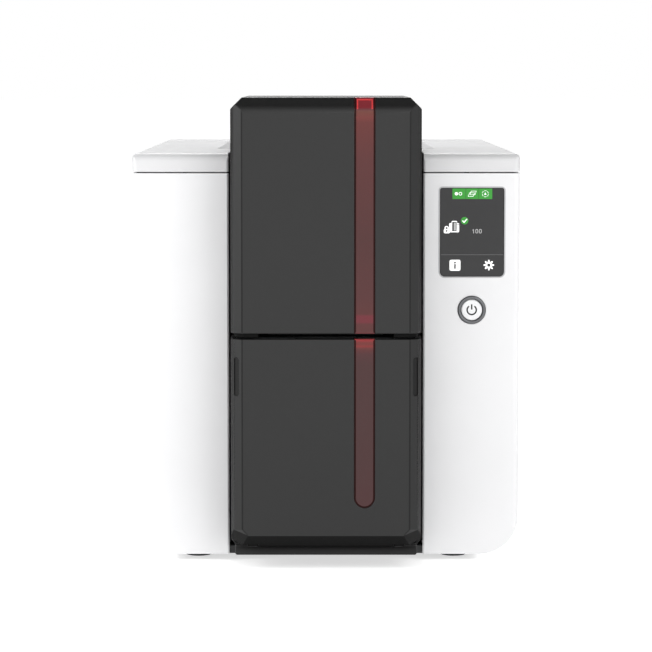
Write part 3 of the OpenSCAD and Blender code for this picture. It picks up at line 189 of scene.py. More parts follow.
# Ground rubber: matt, with fine rings left by the wheel and a little dust in them
def groundRubber(name, hexColour, roughness=0.72, stretch=(1, 0.05, 0.05)):
    return grained(name, {"Roughness": roughness}, (0.5, 2, stretch),
                   [(0.35, hexColour), (0.75, hexColour, 1.7)], (roughness + 0.08, roughness - 0.08), 0.02)


# Solder mask over copper: deep green, lighter where traces run along the board under it
def solderMask(name, hexColour="#124a2b"):
    material, tree, shader, place = made = newFinish(name, {"Roughness": 0.3, "Coat Weight": 0.3})
    upright = addNode(tree, "ShaderNodeMapping", {
        "Rotation": (math.radians(90), 0, math.radians(90)), "Vector": place})
    traces = addNode(tree, "ShaderNodeTexBrick", {
        "Scale": 1 / (9 * mm), "Mortar Size": 0.035, "Mortar Smooth": 0.2, "Bias": -0.4, "Brick Width": 1.7,
        "Row Height": 0.16, "Vector": upright}, offset=0.37, squash=0.7).outputs["Fac"]
    return patterned(made, (traces, [(0.2, hexColour), (0.8, hexColour, 2.2)]),
                     (speckled(made, 0.8), 0.24, 0.38), (traces, 0.03))


# Red polycarbonate over a dark carrier, as of a lamp that is off. Seen face on it is a brownish red
# that fades along its length as painted light and shade, under a soft gloss, and a painted highlight may line
# its top end
def redPolycarbonate(name, node, alongStops, glow=None):
    material, tree, shader, place = made = newFinish(name, {
        "Roughness": 0.3, "IOR": 1.46, "Coat Weight": 0.1})
    low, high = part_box(node)
    axes = addNode(tree, "ShaderNodeSeparateXYZ", {"Vector": place}).outputs
    along = addNode(tree, "ShaderNodeMapRange", {"Value": axes["Z"], "From Min": low.z, "From Max": high.z})
    streaks = speckled(made, 1.5, stretch=(1, 1, 0.06))
    patterned(made, (along, alongStops), (streaks, 0.27, 0.33), (streaks, 0.0006))
    # the glow below is a painted highlight, mixed into the bar's base colour
    if glow:  # a bright line inside the bar's outline, up both sides from glow["from"] and across glow["top"]
        outer, top = (high.x - low.x) / 2 - glow["inset"] * mm, glow["top"] * mm
        wide, blur, middle = glow["wide"] * mm, glow["blur"] * mm, (low.x + high.x) / 2
        shifted = addNode(tree, "ShaderNodeMath", {0: axes["X"], 1: middle}, operation="SUBTRACT")
        aside = addNode(tree, "ShaderNodeMath", {0: shifted}, operation="ABSOLUTE")
        for way, limit, rising, joining in (
                (aside, outer - wide, True, None), (axes["Z"], top - wide, True, "MAXIMUM"),
                (aside, outer, False, "MULTIPLY"), (axes["Z"], top, False, "MULTIPLY"),
                (axes["Z"], glow["from"] * mm, True, "MULTIPLY")):
            step = addNode(tree, "ShaderNodeMapRange", {
                "Value": way, "From Min": limit - blur, "From Max": limit + blur,
                "To Min": float(not rising), "To Max": float(rising)})
            line = addNode(tree, "ShaderNodeMath", {0: line, 1: step}, operation=joining) if joining else step
        plain = shader.inputs["Base Color"].links[0].from_socket
        lit = addNode(tree, "ShaderNodeMix", {
            0: line, 6: plain, 7: toLinear(glow["colour"])}, data_type="RGBA")
        fed(shader, {"Base Color": lit.outputs[2]})
    return material


# Light of a display picture: an even colour crossed by the dark lines between picture cells. The
# cells are a sixth of a millimetre and are drawn at a half
def litPicture(name, hexColour, glow):
    material, tree, shader, place = made = newFinish(name, {
        "Roughness": 0.3, "Emission Color": toLinear(hexColour), "Emission Strength": glow})
    flat = addNode(tree, "ShaderNodeMapping", {"Rotation": (math.radians(90), 0, 0), "Vector": place})
    cells = addNode(tree, "ShaderNodeTexBrick", {
        "Scale": 1 / (0.5 * mm), "Mortar Size": 0.04, "Brick Width": 1.0, "Row Height": 1.0,
        "Vector": flat}, offset=0.0)
    return patterned(made, (cells.outputs["Fac"], [(0.0, hexColour), (1.0, hexColour, 0.85)]))


# Satin dark chrome on a turned ring: fine rings from the tool run round it
def satinChrome(name, node, hexColour="#6a6b6d"):
    made = newFinish(name, {"Roughness": 0.3, "Metallic": 1.0})
    rings = ringed(made, 0.25, 2, middleOf(node) * mm, "y")
    return patterned(made, (rings, [(0.3, hexColour, 0.9), (0.7, hexColour)]), (rings, 0.22, 0.42),
                     (rings, 0.008))


# Dye ribbon: thin shiny film whose colour panels follow each other along its path
def dyeFilm(name, panelMm=26):
    material, tree, shader, place = made = newFinish(name, {"Roughness": 0.2, "Coat Weight": 0.5})
    panels = [(0.0, "#8a7a12"), (0.2, "#7a1440"), (0.4, "#123f6e"), (0.6, "#141414"), (0.8, "#5a5450")]
    axes = addNode(tree, "ShaderNodeSeparateXYZ", {"Vector": place}).outputs
    turns = addNode(tree, "ShaderNodeMath", {0: axes["Y"], 1: len(panels) * panelMm * mm}, operation="DIVIDE")
    panel = addNode(tree, "ShaderNodeMath", {0: turns}, operation="FRACT")
    creases = speckled(made, 9, stretch=(0.3, 1, 1))
    return patterned(made, (panel, panels), (creases, 0.14, 0.3), (creases, 0.05), "CONSTANT")


# The wound roll shows the film's edges as thin rings of all its colours round the spool
def woundFilm(name, node):
    made = newFinish(name, {"Roughness": 0.35, "Coat Weight": 0.2})
    rings = ringed(made, 0.5, 3, middleOf(node) * mm, "x")
    return patterned(made, (rings, [(0.3, "#241a16"), (0.5, "#4b2340"), (0.7, "#3a3424")]),
                     relief=(rings, 0.03))


# what each slot of the record is made of
finish = {
    # ABS housings from one kind of tool: paper white, charcoal, a coarser black and a grey inside
    "white_plastic": mouldedAbs("mouldedWhiteAbs", "#e5e5e6", 0.42),
    "column_plastic": mouldedAbs("mouldedCharcoalAbs", "#141414", 0.4, flow=0.06, ior=1.45),
    "black_plastic": mouldedAbs("mouldedBlackAbs", "#17181a", 0.5, grainDepth=0.02, flow=0.08),
    "grey_plastic": mouldedAbs("mouldedGreyAbs", "#a9abae", 0.45),
    # acetal and nylon, moulded: milky smooth gears and an orange gauge. The cap's tool is polished, so it
    # is satin
    "gear_plastic": mouldedAbs("naturalAcetal", "#e4e0d6", 0.36, grainDepth=0.006, ior=1.48),
    "gauge_plastic": mouldedAbs("orangeNylon", "#c8641c", 0.4),
    "button_plastic": mouldedAbs("satinWhiteCap", "#efeff0", 0.34, grainDepth=0.006),
    # Cast acrylic over a display: dark and smooth, with the grey of the display's weak backlight
    "screen_glass": grained("displayAcrylic", {"Roughness": 0.14, "IOR": 1.49}, (6, 4),
                            [(0.3, "#232324"), (0.7, "#232324", 1.1)], (0.1, 0.2), toneGrain=(30,)),
    # plated metal: broad spangle on the chassis, fine on screws, and brighter tin on the sockets
    "dark_chrome": satinChrome("satinDarkChrome", "button_ring"),
    "sheet_steel": zincSheet("zincPlatedSheet"),
    "zinc_steel": zincSheet("zincPlatedScrew", "#b4b8ba", 0.28, spangleMm=1.2),
    # Ground steel bar: bright, with grinding lines that run round it
    "shaft_steel": grained("groundSteelBar", {"Roughness": 0.22, "Metallic": 1.0}, (0.35, 2, (1, 0.08, 0.08)),
                           [(0.3, "#b9babc", 0.86), (0.7, "#b9babc")], (0.14, 0.38), 0.004, (14,)),
    "socket_tin": zincSheet("tinnedSocketShell", "#c3c5c6", 0.26),
    # Black baked lacquer on a motor's steel case, with the orange peel of a dipped coat
    "motor_case": grained("bakedMotorLacquer", {"Roughness": 0.34, "Coat Weight": 0.4}, (1.4,),
                          [(0.3, "#1b1b1d"), (0.8, "#1b1b1d", 1.4)], (0.28, 0.42), 0.02),
    # Extruded aluminium with the long die lines of its fins
    "sink_aluminium": grained("extrudedAluminium", {"Roughness": 0.36, "Metallic": 1.0},
                              (0.4, 2, (1, 0.03, 1)), [(0.3, "#bfc2c4", 0.85), (0.7, "#bfc2c4")],
                              (0.25, 0.5), 0.006),
    # Sintered bronze bush: dull gold with open pores of two tenths, drawn at four
    "bronze": grained("sinteredBronze", {"Roughness": 0.42, "Metallic": 1.0}, (0.4, 4),
                      [(0.35, "#a5793c", 0.6), (0.55, "#a5793c")], (0.5, 0.36), 0.01),
    # Glazed alumina of the print head: smooth and brown under a clear glaze, faintly clouded
    "head_ceramic": grained("glazedAlumina", {"Roughness": 0.16, "Coat Weight": 0.6}, (0.7,),
                            [(0.4, "#8c7a69", 0.8), (0.6, "#8c7a69")], (0.12, 0.22)),
    "circuit_board": solderMask("greenSolderMask"),
    "ribbon_film": dyeFilm("dyeRibbonFilm"),
    # rubber: feet and belt are moulded and matt, the rollers are ground, and tacky silicone shines a little
    "foot_rubber": groundRubber("mouldedFootRubber", "#161616", 0.8, stretch=(1, 1, 1)),
    "roller_rubber": groundRubber("groundNitrileRubber", "#1d1d1f"),
    "cleaning_rubber": groundRubber("tackySiliconeRubber", "#2c5b8c", 0.4),
    "belt_rubber": groundRubber("mouldedBeltRubber", "#121212", 0.66),
}
# And what some faces of a piece, or small parts on it, are made of: matt epoxy of a moulded chip, ABS of
# the column darkened as painted shade, coarse, dull or darkest, a waxy nylon plug, a glossy shrunk sleeve,
# gold plate
chipEpoxy = mouldedAbs("mouldedChipEpoxy", "#101011", 0.46, grainMm=0.4)
coarseShadeAbs = mouldedAbs("coarsePaintedShadeAbs", "#080808", 0.66, grainMm=0.9, grainDepth=0.03, ior=1.2)
edgeShadeAbs = mouldedAbs("dullPaintedShadeAbs", "#131313", 0.5, ior=1.32)
cornerShadeAbs = mouldedAbs("darkPaintedShadeAbs", "#0e0e0e", 0.55, ior=1.25)
nylonPlug = mouldedAbs("naturalNylon", "#d8d3c2", 0.42)
capSleeve = mouldedAbs("shrunkPvcSleeve", "#16222e", 0.3, grainDepth=0.004)
goldContact = zincSheet("goldPlatedContact", "#c9a14a", 0.22, spangleMm=1)
print("finishes for", len(finish), "slots")


# what is merged, counts as flat or as an edge, and how much of its room a rounding may take; an edge that
# runs on from another, by the cosine between them, leaves it its room
rounding = {"mergeMm": 0.01, "poleMm": 0.002, "flatDegrees": 0.6, "edgeDegrees": 28, "sharpDegrees": 38,
            "share": 0.42, "runsOn": 0.8, "flatWeight": 80}


def settle(piece, node, slot, *replaced):  # hands a finished piece to the body that the node is on
    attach(piece, bodyOf[node])
    if replaced:
        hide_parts(*replaced)
    return piece


def modified(piece, label, kind, **settings):
    modifier = piece.modifiers.new(label, kind)
    for key, value in settings.items():
        setattr(modifier, key, value)
    return modifier


def applied(piece):  # turns the modifiers into a plain mesh
    bpy.context.view_layer.update()
    shown = piece.evaluated_get(bpy.context.evaluated_depsgraph_get())
    mesh = bpy.data.meshes.new_from_object(shown)
    piece.modifiers.clear()
    piece.data = mesh
    return piece


def newPiece(name, work, *materials, loose=False):  # an object from a bmesh, shaded smooth up to sharp edges
    if loose:  # its faces are still to be turned outwards
        bmesh.ops.recalc_face_normals(work, faces=work.faces)
    mesh = bpy.data.meshes.new(name + "Mesh")
    work.to_mesh(mesh)
    work.free()
    for material in materials:
        mesh.materials.append(material)
    mesh.polygons.foreach_set("use_smooth", [True] * len(mesh.polygons))
    mesh.set_sharp_from_angle(angle=math.radians(rounding["sharpDegrees"]))
    return newObject(name, mesh)


def roomBeside(edge):  # how far a rounding may reach from this edge before it meets another edge
    along = (edge.verts[1].co - edge.verts[0].co).normalized()
    room = 1.0
    for vertex in edge.verts:
        for other in vertex.link_edges:
            if other is edge or not set(other.link_faces) & set(edge.link_faces):
                continue
            way = (other.other_vert(vertex).co - vertex.co).normalized()
            if abs(way.dot(along)) < rounding["runsOn"]:
                room = min(room, other.calc_length())
    return room


# A node's own form with its moulded edges rounded: every edge gets the wanted radius, or less
# where a neighbouring edge is close. Wide edges are those that a test on their ends names, and
# reshape may work on the bare form before that
def softened(node, radiusMm, segments=2, wide=None, wideMm=0, cutter=None, reshape=None, extra=()):
    work = bmesh.new()
    work.from_mesh(nodes[node].data)
    bmesh.ops.remove_doubles(work, verts=work.verts, dist=rounding["mergeMm"] * mm)
    bmesh.ops.dissolve_limit(work, angle_limit=math.radians(rounding["flatDegrees"]), verts=work.verts,
                             edges=work.edges)
    if reshape:
        reshape(work)
    low, high = ([pick(vertex.co[i] for vertex in work.verts) for i in range(3)] for pick in (min, max))
    weight = work.edges.layers.float.new("bevel_weight_edge")
    widest = max(radiusMm, wideMm) * mm
    for edge in work.edges:
        if edge.is_manifold and edge.calc_face_angle(0) > math.radians(rounding["edgeDegrees"]):
            isWide = wide and wide(edge.verts[0].co / mm, edge.verts[1].co / mm)
            wanted = (wideMm if isWide else radiusMm) * mm
            edge[weight] = min(wanted, rounding["share"] * roomBeside(edge)) / widest
    piece = newPiece(node + "_piece", work, finish[slotOf[node]], *extra)
    modified(piece, "roundedEdges", "BEVEL", limit_method="WEIGHT", width=widest, segments=segments,
             use_clamp_overlap=False)
    if cutter:
        modified(piece, "sunkPlaces", "BOOLEAN", object=cutter, solver="EXACT")
    modified(piece, "flatFaces", "WEIGHTED_NORMAL", weight=rounding["flatWeight"], keep_sharp=True)
    applied(piece)
    for vertex in piece.data.vertices:  # no rounding reaches out of the bare form's box
        inside = [min(max(value, a), b) for value, a, b in zip(vertex.co, low, high)]
        if inside != list(vertex.co):
            vertex.co = inside
    settle(piece, node, slotOf[node], node)


def zoned(node, zones):  # gives faces another material where a test on their centre says so
    mesh = bpy.data.objects[node + "_piece"].data
    for material, test in zones:
        mesh.materials.append(material)
        for face in mesh.polygons:
            if test(face.center / mm):
                face.material_index = len(mesh.materials) - 1


def newGeometryTree(name, sizes):  # a Geometry Nodes tree with named inputs
    tree = bpy.data.node_groups.new(name, "GeometryNodeTree")
    tree.interface.new_socket("Geometry", in_out="OUTPUT", socket_type="NodeSocketGeometry")
    for label, kind in {"Geometry": "Geometry", **sizes, "Finish": "Material"}.items():
        tree.interface.new_socket(label, in_out="INPUT", socket_type="NodeSocket" + kind)
    return tree, tree.nodes.new("NodeGroupInput").outputs


def ended(tree, entry, geometry):  # real geometry in its finish leaves the tree
    real = addNode(tree, "GeometryNodeRealizeInstances", {"Geometry": geometry})
    painted = addNode(tree, "GeometryNodeSetMaterial", {"Geometry": real, "Material": entry["Finish"]})
    addNode(tree, "NodeGroupOutput", {"Geometry": painted})


def grown(name, tree, seeds, values):  # runs a geometry tree on a seed mesh and keeps the plain result
    piece = newObject(name, seeds)
    modifier = modified(piece, tree.name, "NODES", node_group=tree)
    for socket in tree.interface.items_tree:
        if socket.in_out == "INPUT" and socket.name in values:
            modifier[socket.identifier] = values[socket.name]
    return applied(piece)


# Puts one part at every place, turned by a random angle up to Turn about its own axis
placedParts, entry = newGeometryTree("placedParts", {"Part": "Object", "Turn": "Float", "Seed": "Int"})
topWay, sideWay = (addNode(placedParts, "GeometryNodeInputNamedAttribute", {"Name": label},
                           data_type="FLOAT_VECTOR") for label in ("topWay", "sideWay"))
stance = addNode(placedParts, "FunctionNodeAxesToRotation", {
    "Primary Axis": topWay, "Secondary Axis": sideWay}, primary_axis="Z", secondary_axis="X")
chance = addNode(placedParts, "FunctionNodeRandomValue", {3: entry["Turn"], "Seed": entry["Seed"]},
                 data_type="FLOAT")
spun = addNode(placedParts, "FunctionNodeAxisAngleToRotation", {
    "Axis": (0, 0, 1), "Angle": chance.outputs[1]})
turned = addNode(placedParts, "FunctionNodeRotateRotation", {"Rotation": stance, "Rotate By": spun},
                 rotation_space="LOCAL")
part = addNode(placedParts, "GeometryNodeObjectInfo", {"As Instance": False, "Object": entry["Part"]})
ended(placedParts, entry, addNode(placedParts, "GeometryNodeInstanceOnPoints", {
    "Points": entry["Geometry"], "Instance": part.outputs["Geometry"], "Rotation": turned}))


# A place has a point in millimetres, the way the part's top faces and the way its side lies
def repeated(name, template, places, node, slot, turn=0.0, seed=1, material=None):
    mesh = bpy.data.meshes.new(name + "Places")
    mesh.from_pydata([Vector(point) * mm for point, top, side in places], [], [])
    for label, index in (("topWay", 1), ("sideWay", 2)):
        layer = mesh.attributes.new(label, "FLOAT_VECTOR", "POINT")
        for item, place in zip(layer.data, places):
            item.vector = place[index]
    piece = grown(name, placedParts, mesh, {
        "Part": template, "Turn": turn, "Seed": seed, "Finish": material or finish[slot]})
    return settle(piece, node, slot)


def turnedForm(profile, steps):  # a closed form turned about its Z axis from (radius, height) points, mm
    work = bmesh.new()
    points = [work.verts.new((r * mm, 0, z * mm)) for r, z in profile]
    edges = [work.edges.new(pair) for pair in zip(points, points[1:])]
    bmesh.ops.spin(work, geom=points + edges, cent=(0, 0, 0), axis=(0, 0, 1),
                   angle=math.tau, steps=steps, use_merge=False)
    bmesh.ops.remove_doubles(work, verts=work.verts, dist=rounding["poleMm"] * mm)
    bmesh.ops.recalc_face_normals(work, faces=work.faces)
    return work


def addBar(work, low, high):  # a square bar between two corners in millimetres
    middle = (Vector(low) + Vector(high)) / 2
    size = Vector(high) - Vector(low)
    bmesh.ops.create_cube(work, size=mm, matrix=Matrix.Translation(middle * mm) @ Matrix.Diagonal((*size, 1)))


# Faces between rings of points in millimetres, which are capped, closed in a circle of rings, or open
def addSkin(work, rings, ends="capped", index=0):
    rows = [[work.verts.new(Vector(point) * mm) for point in ring] for ring in rings]
    faces = [work.faces.new(rows[0]), work.faces.new(rows[-1][::-1])] if ends == "capped" else []
    for first, second in zip(rows, rows[1:] + (rows[:1] if ends == "circle" else [])):
        for i in range(len(first)):
            faces.append(work.faces.new((first[i - 1], second[i - 1], second[i], first[i])))
    for face in faces:
        face.material_index = index
    return rows


# housing and covers: moulding radii in millimetres, from sharp fits to soft outer edges
edgeRadius = {
    "left_shell": 0.2, "right_shell": 0.2, "lid_shell": 0.5, "base_tray": 0.5, "rubber_feet": 0.8,
    "output_bin": 0.4, "feeder_frame": 0.4, "screen_glass": 0.15, "power_button": 0.5, "other": 0.25,
}
columnLow, columnHigh = boxOf("feeder_cover")
doorLow, doorHigh = boxOf("output_door")
columnEdges = {"chamfer": 6, "foot": 4.0, "plain": 0.45, "doorRise": 1.0, "lip": 1.5}

# colours up each red bar from foot to top, with painted light and shade along it; the upper bar has a painted
# highlight line
upperBar = {
    "stops": [
        (0.0, "#561018"), (0.008, "#48100f"), (0.041, "#48100f"), (0.049, "#5e0719"), (0.075, "#5e0719"),
        (0.083, "#48100f"), (0.143, "#431010"), (0.4, "#3d0d0b"), (0.74, "#48100f"), (0.895, "#54140f"),
        (0.914, "#621c17"), (0.94, "#5a2417"), (0.951, "#5a2026"), (0.956, "#7a2a31"), (1.0, "#7d2a31")],
    "glow": {"inset": 1.3, "wide": 0.5, "blur": 0.15, "from": columnHigh.z - columnEdges["chamfer"],
             "top": columnHigh.z - 1.0, "colour": "#e04443"},
}
# the lower bar brightens towards its top as painted light
lowerBar = {
    "stops": [
        (0.0, "#380c0e"), (0.3, "#340a0a"), (0.86, "#340a0a"), (0.92, "#3c0a0e"), (0.945, "#4a0c0c"),
        (0.957, "#571512"), (0.965, "#70100f"), (0.972, "#70100f"), (0.976, "#62140f"), (0.99, "#62140f"),
        (1.0, "#7c0a10")],
}
# dark rim round each bar's face: painted shade of the channel it sits in
barRim = {"wide": 0.85, "material": mouldedAbs("paintedChannelShadeRim", "#240a08", 0.5, grainDepth=0.004, ior=1.2)}
finish["red_light_bar"] = redPolycarbonate("redPolycarbonateUpper", "upper_light_bar", upperBar["stops"],
                                           upperBar["glow"])


def onFoot(a, b):  # the level edge where the chamfer along the column's top meets its front
    foot, near = columnHigh.z - columnEdges["chamfer"], 0.2
    return (max(abs(a.z - foot), abs(b.z - foot)) < near and max(a.y, b.y) < columnLow.y + near
            and abs(a.x - b.x) > 3)


def raisedTop(work):  # the door's top edge, with its lip, stands a little higher under the cover
    for vertex in work.verts:
        if vertex.co.z / mm > doorHigh.z - columnEdges["lip"]:
            vertex.co.z += columnEdges["doorRise"] * mm
    bmesh.ops.triangulate(work, faces=[face for face in work.faces if 0.2 < abs(face.normal.x) < 0.9])


gripHollow = {"low": 92, "high": 113, "beyond": 43, "way": (0.555, -0.832), "deep": 0.8, "shallow": 0.4}


# the hollows' floors take the door's third material, the dull dark copy that is painted shade
def reshapedDoor(work):  # the two finger hollows in the door's side bevels are duller and barely sunk
    across, along = gripHollow["way"]
    near = [vertex for vertex in work.verts if abs(vertex.co.x / mm) > gripHollow["beyond"]
            and gripHollow["low"] < vertex.co.z / mm < gripHollow["high"]]
    reach = [(abs(vertex.co.x) * across + vertex.co.y * along) / mm for vertex in near]
    for vertex, level in zip(near, reach):
        if abs(max(reach) - level - gripHollow["deep"]) < 0.1:
            way = Vector((math.copysign(across, vertex.co.x), along, 0))
            vertex.co += way * (gripHollow["deep"] - gripHollow["shallow"]) * mm
            for face in vertex.link_faces:
                face.material_index = 2
    raisedTop(work)


# the rim band takes a dark material as painted shade
def rimmed(work):  # a narrow band of its own round the bar's face, where the bar sits in its channel
    front = [face for face in work.faces if face.normal.y < -0.5]
    heights = [vertex.co.z for face in front for vertex in face.verts]
    low, high = min(heights), max(heights)
    rim = bmesh.ops.inset_region(work, faces=front, thickness=barRim["wide"] * mm, use_even_offset=True)
    for face in rim["faces"]:  # not where the bar ends at the lid, or above the door's foot
        centre = face.calc_center_median()
        level = max(abs(edge.verts[0].co.z - edge.verts[1].co.z) for edge in face.edges) < 1.1 * mm
        if not (level and (high - centre.z < 1 * mm or (centre.z - low < 1 * mm and centre.z > 60 * mm))):
            face.material_index = 1


def reshapedLowerBar(work):
    raisedTop(work)
    rimmed(work)


softened("feeder_cover", columnEdges["plain"], 3, onFoot, columnEdges["foot"], extra=(coarseShadeAbs, edgeShadeAbs))
softened("output_door", columnEdges["plain"], 3, reshape=reshapedDoor, extra=(coarseShadeAbs, edgeShadeAbs, cornerShadeAbs))
for node, radius, reshape in (("button_ring", 0.6, None), ("upper_light_bar", 0.3, rimmed),
                              ("lower_light_bar", 0.3, reshapedLowerBar)):
    softened(node, radius, 4, onFoot, columnEdges["foot"], reshape=reshape,
             extra=(barRim["material"],) if reshape else ())
bpy.data.objects["lower_light_bar_piece"].data.materials[0] = redPolycarbonate(
    "redPolycarbonateLower", "lower_light_bar", lowerBar["stops"])


columnZones = {"bevelFrom": 40, "stepFrom": 48.2, "cornerHigh": 9, "chamferHigh": columnEdges["chamfer"] + 1,
               "jointLow": 0.9, "jointHigh": 3.5}


# painted shade: a dark line along each side bevel, and on the step outside it
def onSideLine(face):  # the fine line along each side bevel, and the step outside it
    across, way = abs(face.center.x / mm), face.normal
    line = 0.06 < abs(way.x) < 0.5 and way.y < -0.8 and abs(way.z) < 0.2 and across > columnZones["bevelFrom"]
    return line or (across > columnZones["stepFrom"] and way.y < -0.3)


# painted shade on the facets at the door's low corners
def onLowCorner(face):
    high = face.center.z / mm - doorLow.z
    return face.normal.z < -0.3 and abs(face.normal.x) >= 0.2 and high < columnZones["cornerHigh"]


# painted shade on the door's downward chamfer, and in the joint under the cover
def onLowChamfer(face):  # and in the joint under the cover
    high = face.center.z / mm
    chamfer = face.normal.z < -0.35 and abs(face.normal.x) < 0.2
    return ((chamfer and high < doorLow.z + columnZones["chamferHigh"])
            or high > doorHigh.z - columnZones["jointLow"])


# painted shade on the cover's faces low in the joint above the door
def inJoint(face):
    return face.center.z / mm < doorHigh.z + columnZones["jointHigh"]


# places of the column in painted shade, coarse, dull or dark, by their material's index, the strongest last
for node, rules in (("output_door", ((2, onSideLine), (3, onLowCorner), (1, onLowChamfer))),
                    ("feeder_cover", ((2, onSideLine), (1, inJoint)))):
    for face in bpy.data.objects[node + "_piece"].data.polygons:
        for index, test in rules:
            if test(face):
                face.material_index = index

# rear cover: four sunk places for its screws
rearCover = {"screwX": 90.5, "screwZ": (34, 196), "sinkRadius": 3.5, "sinkDepth": 1.75, "sinkerLong": 4}
rearScrews = [(x, boxOf("rear_cover")[1].y - rearCover["sinkDepth"], z)
              for x in (-rearCover["screwX"], rearCover["screwX"]) for z in rearCover["screwZ"]]
sinkers = bmesh.new()
for place in rearScrews:
    outer = Vector(place) + Vector((0, rearCover["sinkerLong"] / 2, 0))
    bmesh.ops.create_cone(sinkers, cap_ends=True, segments=40, radius1=rearCover["sinkRadius"] * mm,
                          radius2=rearCover["sinkRadius"] * mm, depth=rearCover["sinkerLong"] * mm,
                          matrix=Matrix.Translation(outer * mm) @ Matrix.Rotation(math.radians(90), 4, "X"))
sinker = newPiece("screwSinks", sinkers)
softened("rear_cover", 0.5, cutter=sinker)
bpy.data.objects.remove(sinker)
print("housing and covers")

for node in sorted(nodes):
    if node + "_piece" not in bpy.data.objects and node not in ("button_spring", "drive_belt", "fan_rotor"):
        softened(node, edgeRadius.get(node, edgeRadius["other"]))

# tray under the door: painted light on its sill, as from the floor, and painted shadow on its hinge lugs
bpy.data.objects["output_bin_piece"].data.materials[0] = finish["column_plastic"]
sill = {"front": -178, "top": 12.6, "lugFront": -179.5,
        "material": mouldedAbs("paintedLightSillAbs", "#2e2e2e", 0.45, flow=0.06)}
zoned("output_bin", [(sill["material"], lambda at: at.y < sill["front"] and at.z < sill["top"]),
                     (coarseShadeAbs, lambda at: at.y < sill["lugFront"] and at.z > sill["top"])])
# the lid's front edge is painted a little greyer than its top, as painted shade
lidEdge = {"to": boxOf("lid_shell")[0].y + 4, "material": mouldedAbs("paintedShadeWhiteAbs", "#d5d5d6", 0.42)}
zoned("lid_shell", [(lidEdge["material"], lambda at: at.y < lidEdge["to"])])


# outlines in millimetres, X to the right and Z up as seen from the front, counterclockwise
def discOutline(centre, radius, steps=28, start=0.0, turn=360.0):
    angles = [math.radians(start + turn * i / steps) for i in range(steps if turn >= 360 else steps + 1)]
    return [(centre[0] + radius * math.cos(angle), centre[1] + radius * math.sin(angle)) for angle in angles]


def softOutline(low, high, radii, steps=5):  # four corner radii, from the top right one round, or one for all
    outline = []
    for i, r in enumerate(radii if isinstance(radii, tuple) else (radii,) * 4):
        centre = (high[0] - r if i in (0, 3) else low[0] + r, high[1] - r if i < 2 else low[1] + r)
        outline += discOutline(centre, r, steps, 90 * i, 90)
    return outline


def rectangle(low, high):
    return [(high[0], low[1]), (high[0], high[1]), (low[0], high[1]), (low[0], low[1])]


def strokeOutline(a, b, width, steps=6):  # a bar with round ends
    way = math.degrees(math.atan2(b[1] - a[1], b[0] - a[0]))
    return discOutline(b, width / 2, steps, way - 90, 180) + discOutline(a, width / 2, steps, way + 90, 180)


def arcOutline(centre, radius, width, start, turn, steps):  # a bent bar with round ends
    outer = discOutline(centre, radius + width / 2, steps, start, turn)
    inner = discOutline(centre, radius - width / 2, steps, start, turn)[::-1]
    ends = [discOutline(discOutline(centre, radius, 1, angle, 1)[0], width / 2, 6, way, 180)[1:-1]
            for angle, way in ((start + turn, start + turn), (start, start + 180))]
    return outer + ends[0] + inner + ends[1]


def addPlate(work, outline, front, back, index=0, hole=None, centre=(0, 0)):  # between two depths
    def ring(points, depth):
        return [(centre[0] + x, depth, centre[1] + z) for x, z in points]
    if hole:
        rings = [ring(outline, front), ring(hole, front), ring(hole, back), ring(outline, back)]
        addSkin(work, rings, "circle", index)
    else:
        addSkin(work, [ring(outline, front), ring(outline, back)], "capped", index)


# display picture: three green tabs with pictograms, a card machine with its state, a row of keys
glassLow, glassHigh = boxOf("screen_glass")
panel = {
    "centre": ((glassLow.x + glassHigh.x) / 2, (glassLow.z + glassHigh.z) / 2), "layer": 0.04, "sunk": 0.02,
    "line": 0.2, "tabs": ((-10.4, 17.6), (10.6, 23.1)), "splits": (-3.35, 3.45),
    "badge": (-3.9, 6.1), "badgeRadius": 1.95, "tick": ((-1.0, -0.1), (-0.3, -0.8), (1.1, 0.75)),
    "key": ((-11.8, -20.4), (-6.05, -14.6)), "gear": (9.0, -17.4), "gearTeeth": 8, "rule": (-12.08, -11.72),
    "gearShape": ((-13, 1.85), (-8, 2.8), (8, 2.8), (13, 1.85)), "gearHole": 0.85,
    "digitStroke": 0.34, "zero": ((0, -0.6), (1.45, 1.7), 0.705), "zerosAt": (1.8, 3.7),
}
tint = {"green": ("#207e1d", 0.6), "white": ("#f4f4f4", 0.5), "grey": ("#9a9a9a", 0.6),
        "dark": ("#1c1c1d", 0.3), "leaf": ("#186018", 0.5), "rule": ("#474748", 0.3)}
picture = bmesh.new()


def drawn(outline, colour, layer=1, hole=None):  # one flat figure of the picture, on its layer
    under = glassLow.y - (layer - 1) * panel["layer"]
    addPlate(picture, outline, under - panel["layer"], under + panel["sunk"], list(tint).index(colour), hole,
             panel["centre"])


def drawnLine(points, width, colour, layer=2):
    for a, b in zip(points, points[1:]):
        drawn(strokeOutline(a, b, width), colour, layer)


drawn(rectangle(*panel["tabs"]), "green")
low, high = (corner[1] for corner in panel["tabs"])
for split in panel["splits"]:
    drawn(rectangle((split - 0.2, low + 0.1), (split + 0.2, high - 0.1)), "leaf", 2)
tabMiddle = (low + high) / 2
drawn(discOutline((-8.3, tabMiddle), 0.85), "white", 2)
drawn(discOutline((-6.2, tabMiddle), 0.9, 24), "white", 2, discOutline((-6.2, tabMiddle), 0.6, 24))
for shift in (0.0, 0.9):  # two cards, one over the other
    drawnLine([(x + shift, tabMiddle + z + shift) for x, z in (
        (-2.1, -1.4), (0.6, -1.4), (1.3, 0.5), (-1.4, 0.5), (-2.1, -1.4))], panel["line"], "white")
for i in range(6):  # a ring of six dashes round a mark
    drawn(arcOutline((6.95, tabMiddle), 1.6, panel["line"], 60 * i + 10, 38, 5), "white", 2)
drawn([(6.3, tabMiddle - 0.5), (7.6, tabMiddle - 0.5), (6.95, tabMiddle + 0.8)], "white", 2)

drawn(discOutline(panel["badge"], panel["badgeRadius"], 40), "green")
drawnLine([(panel["badge"][0] + x, panel["badge"][1] + z) for x, z in panel["tick"]], 0.55, "white")

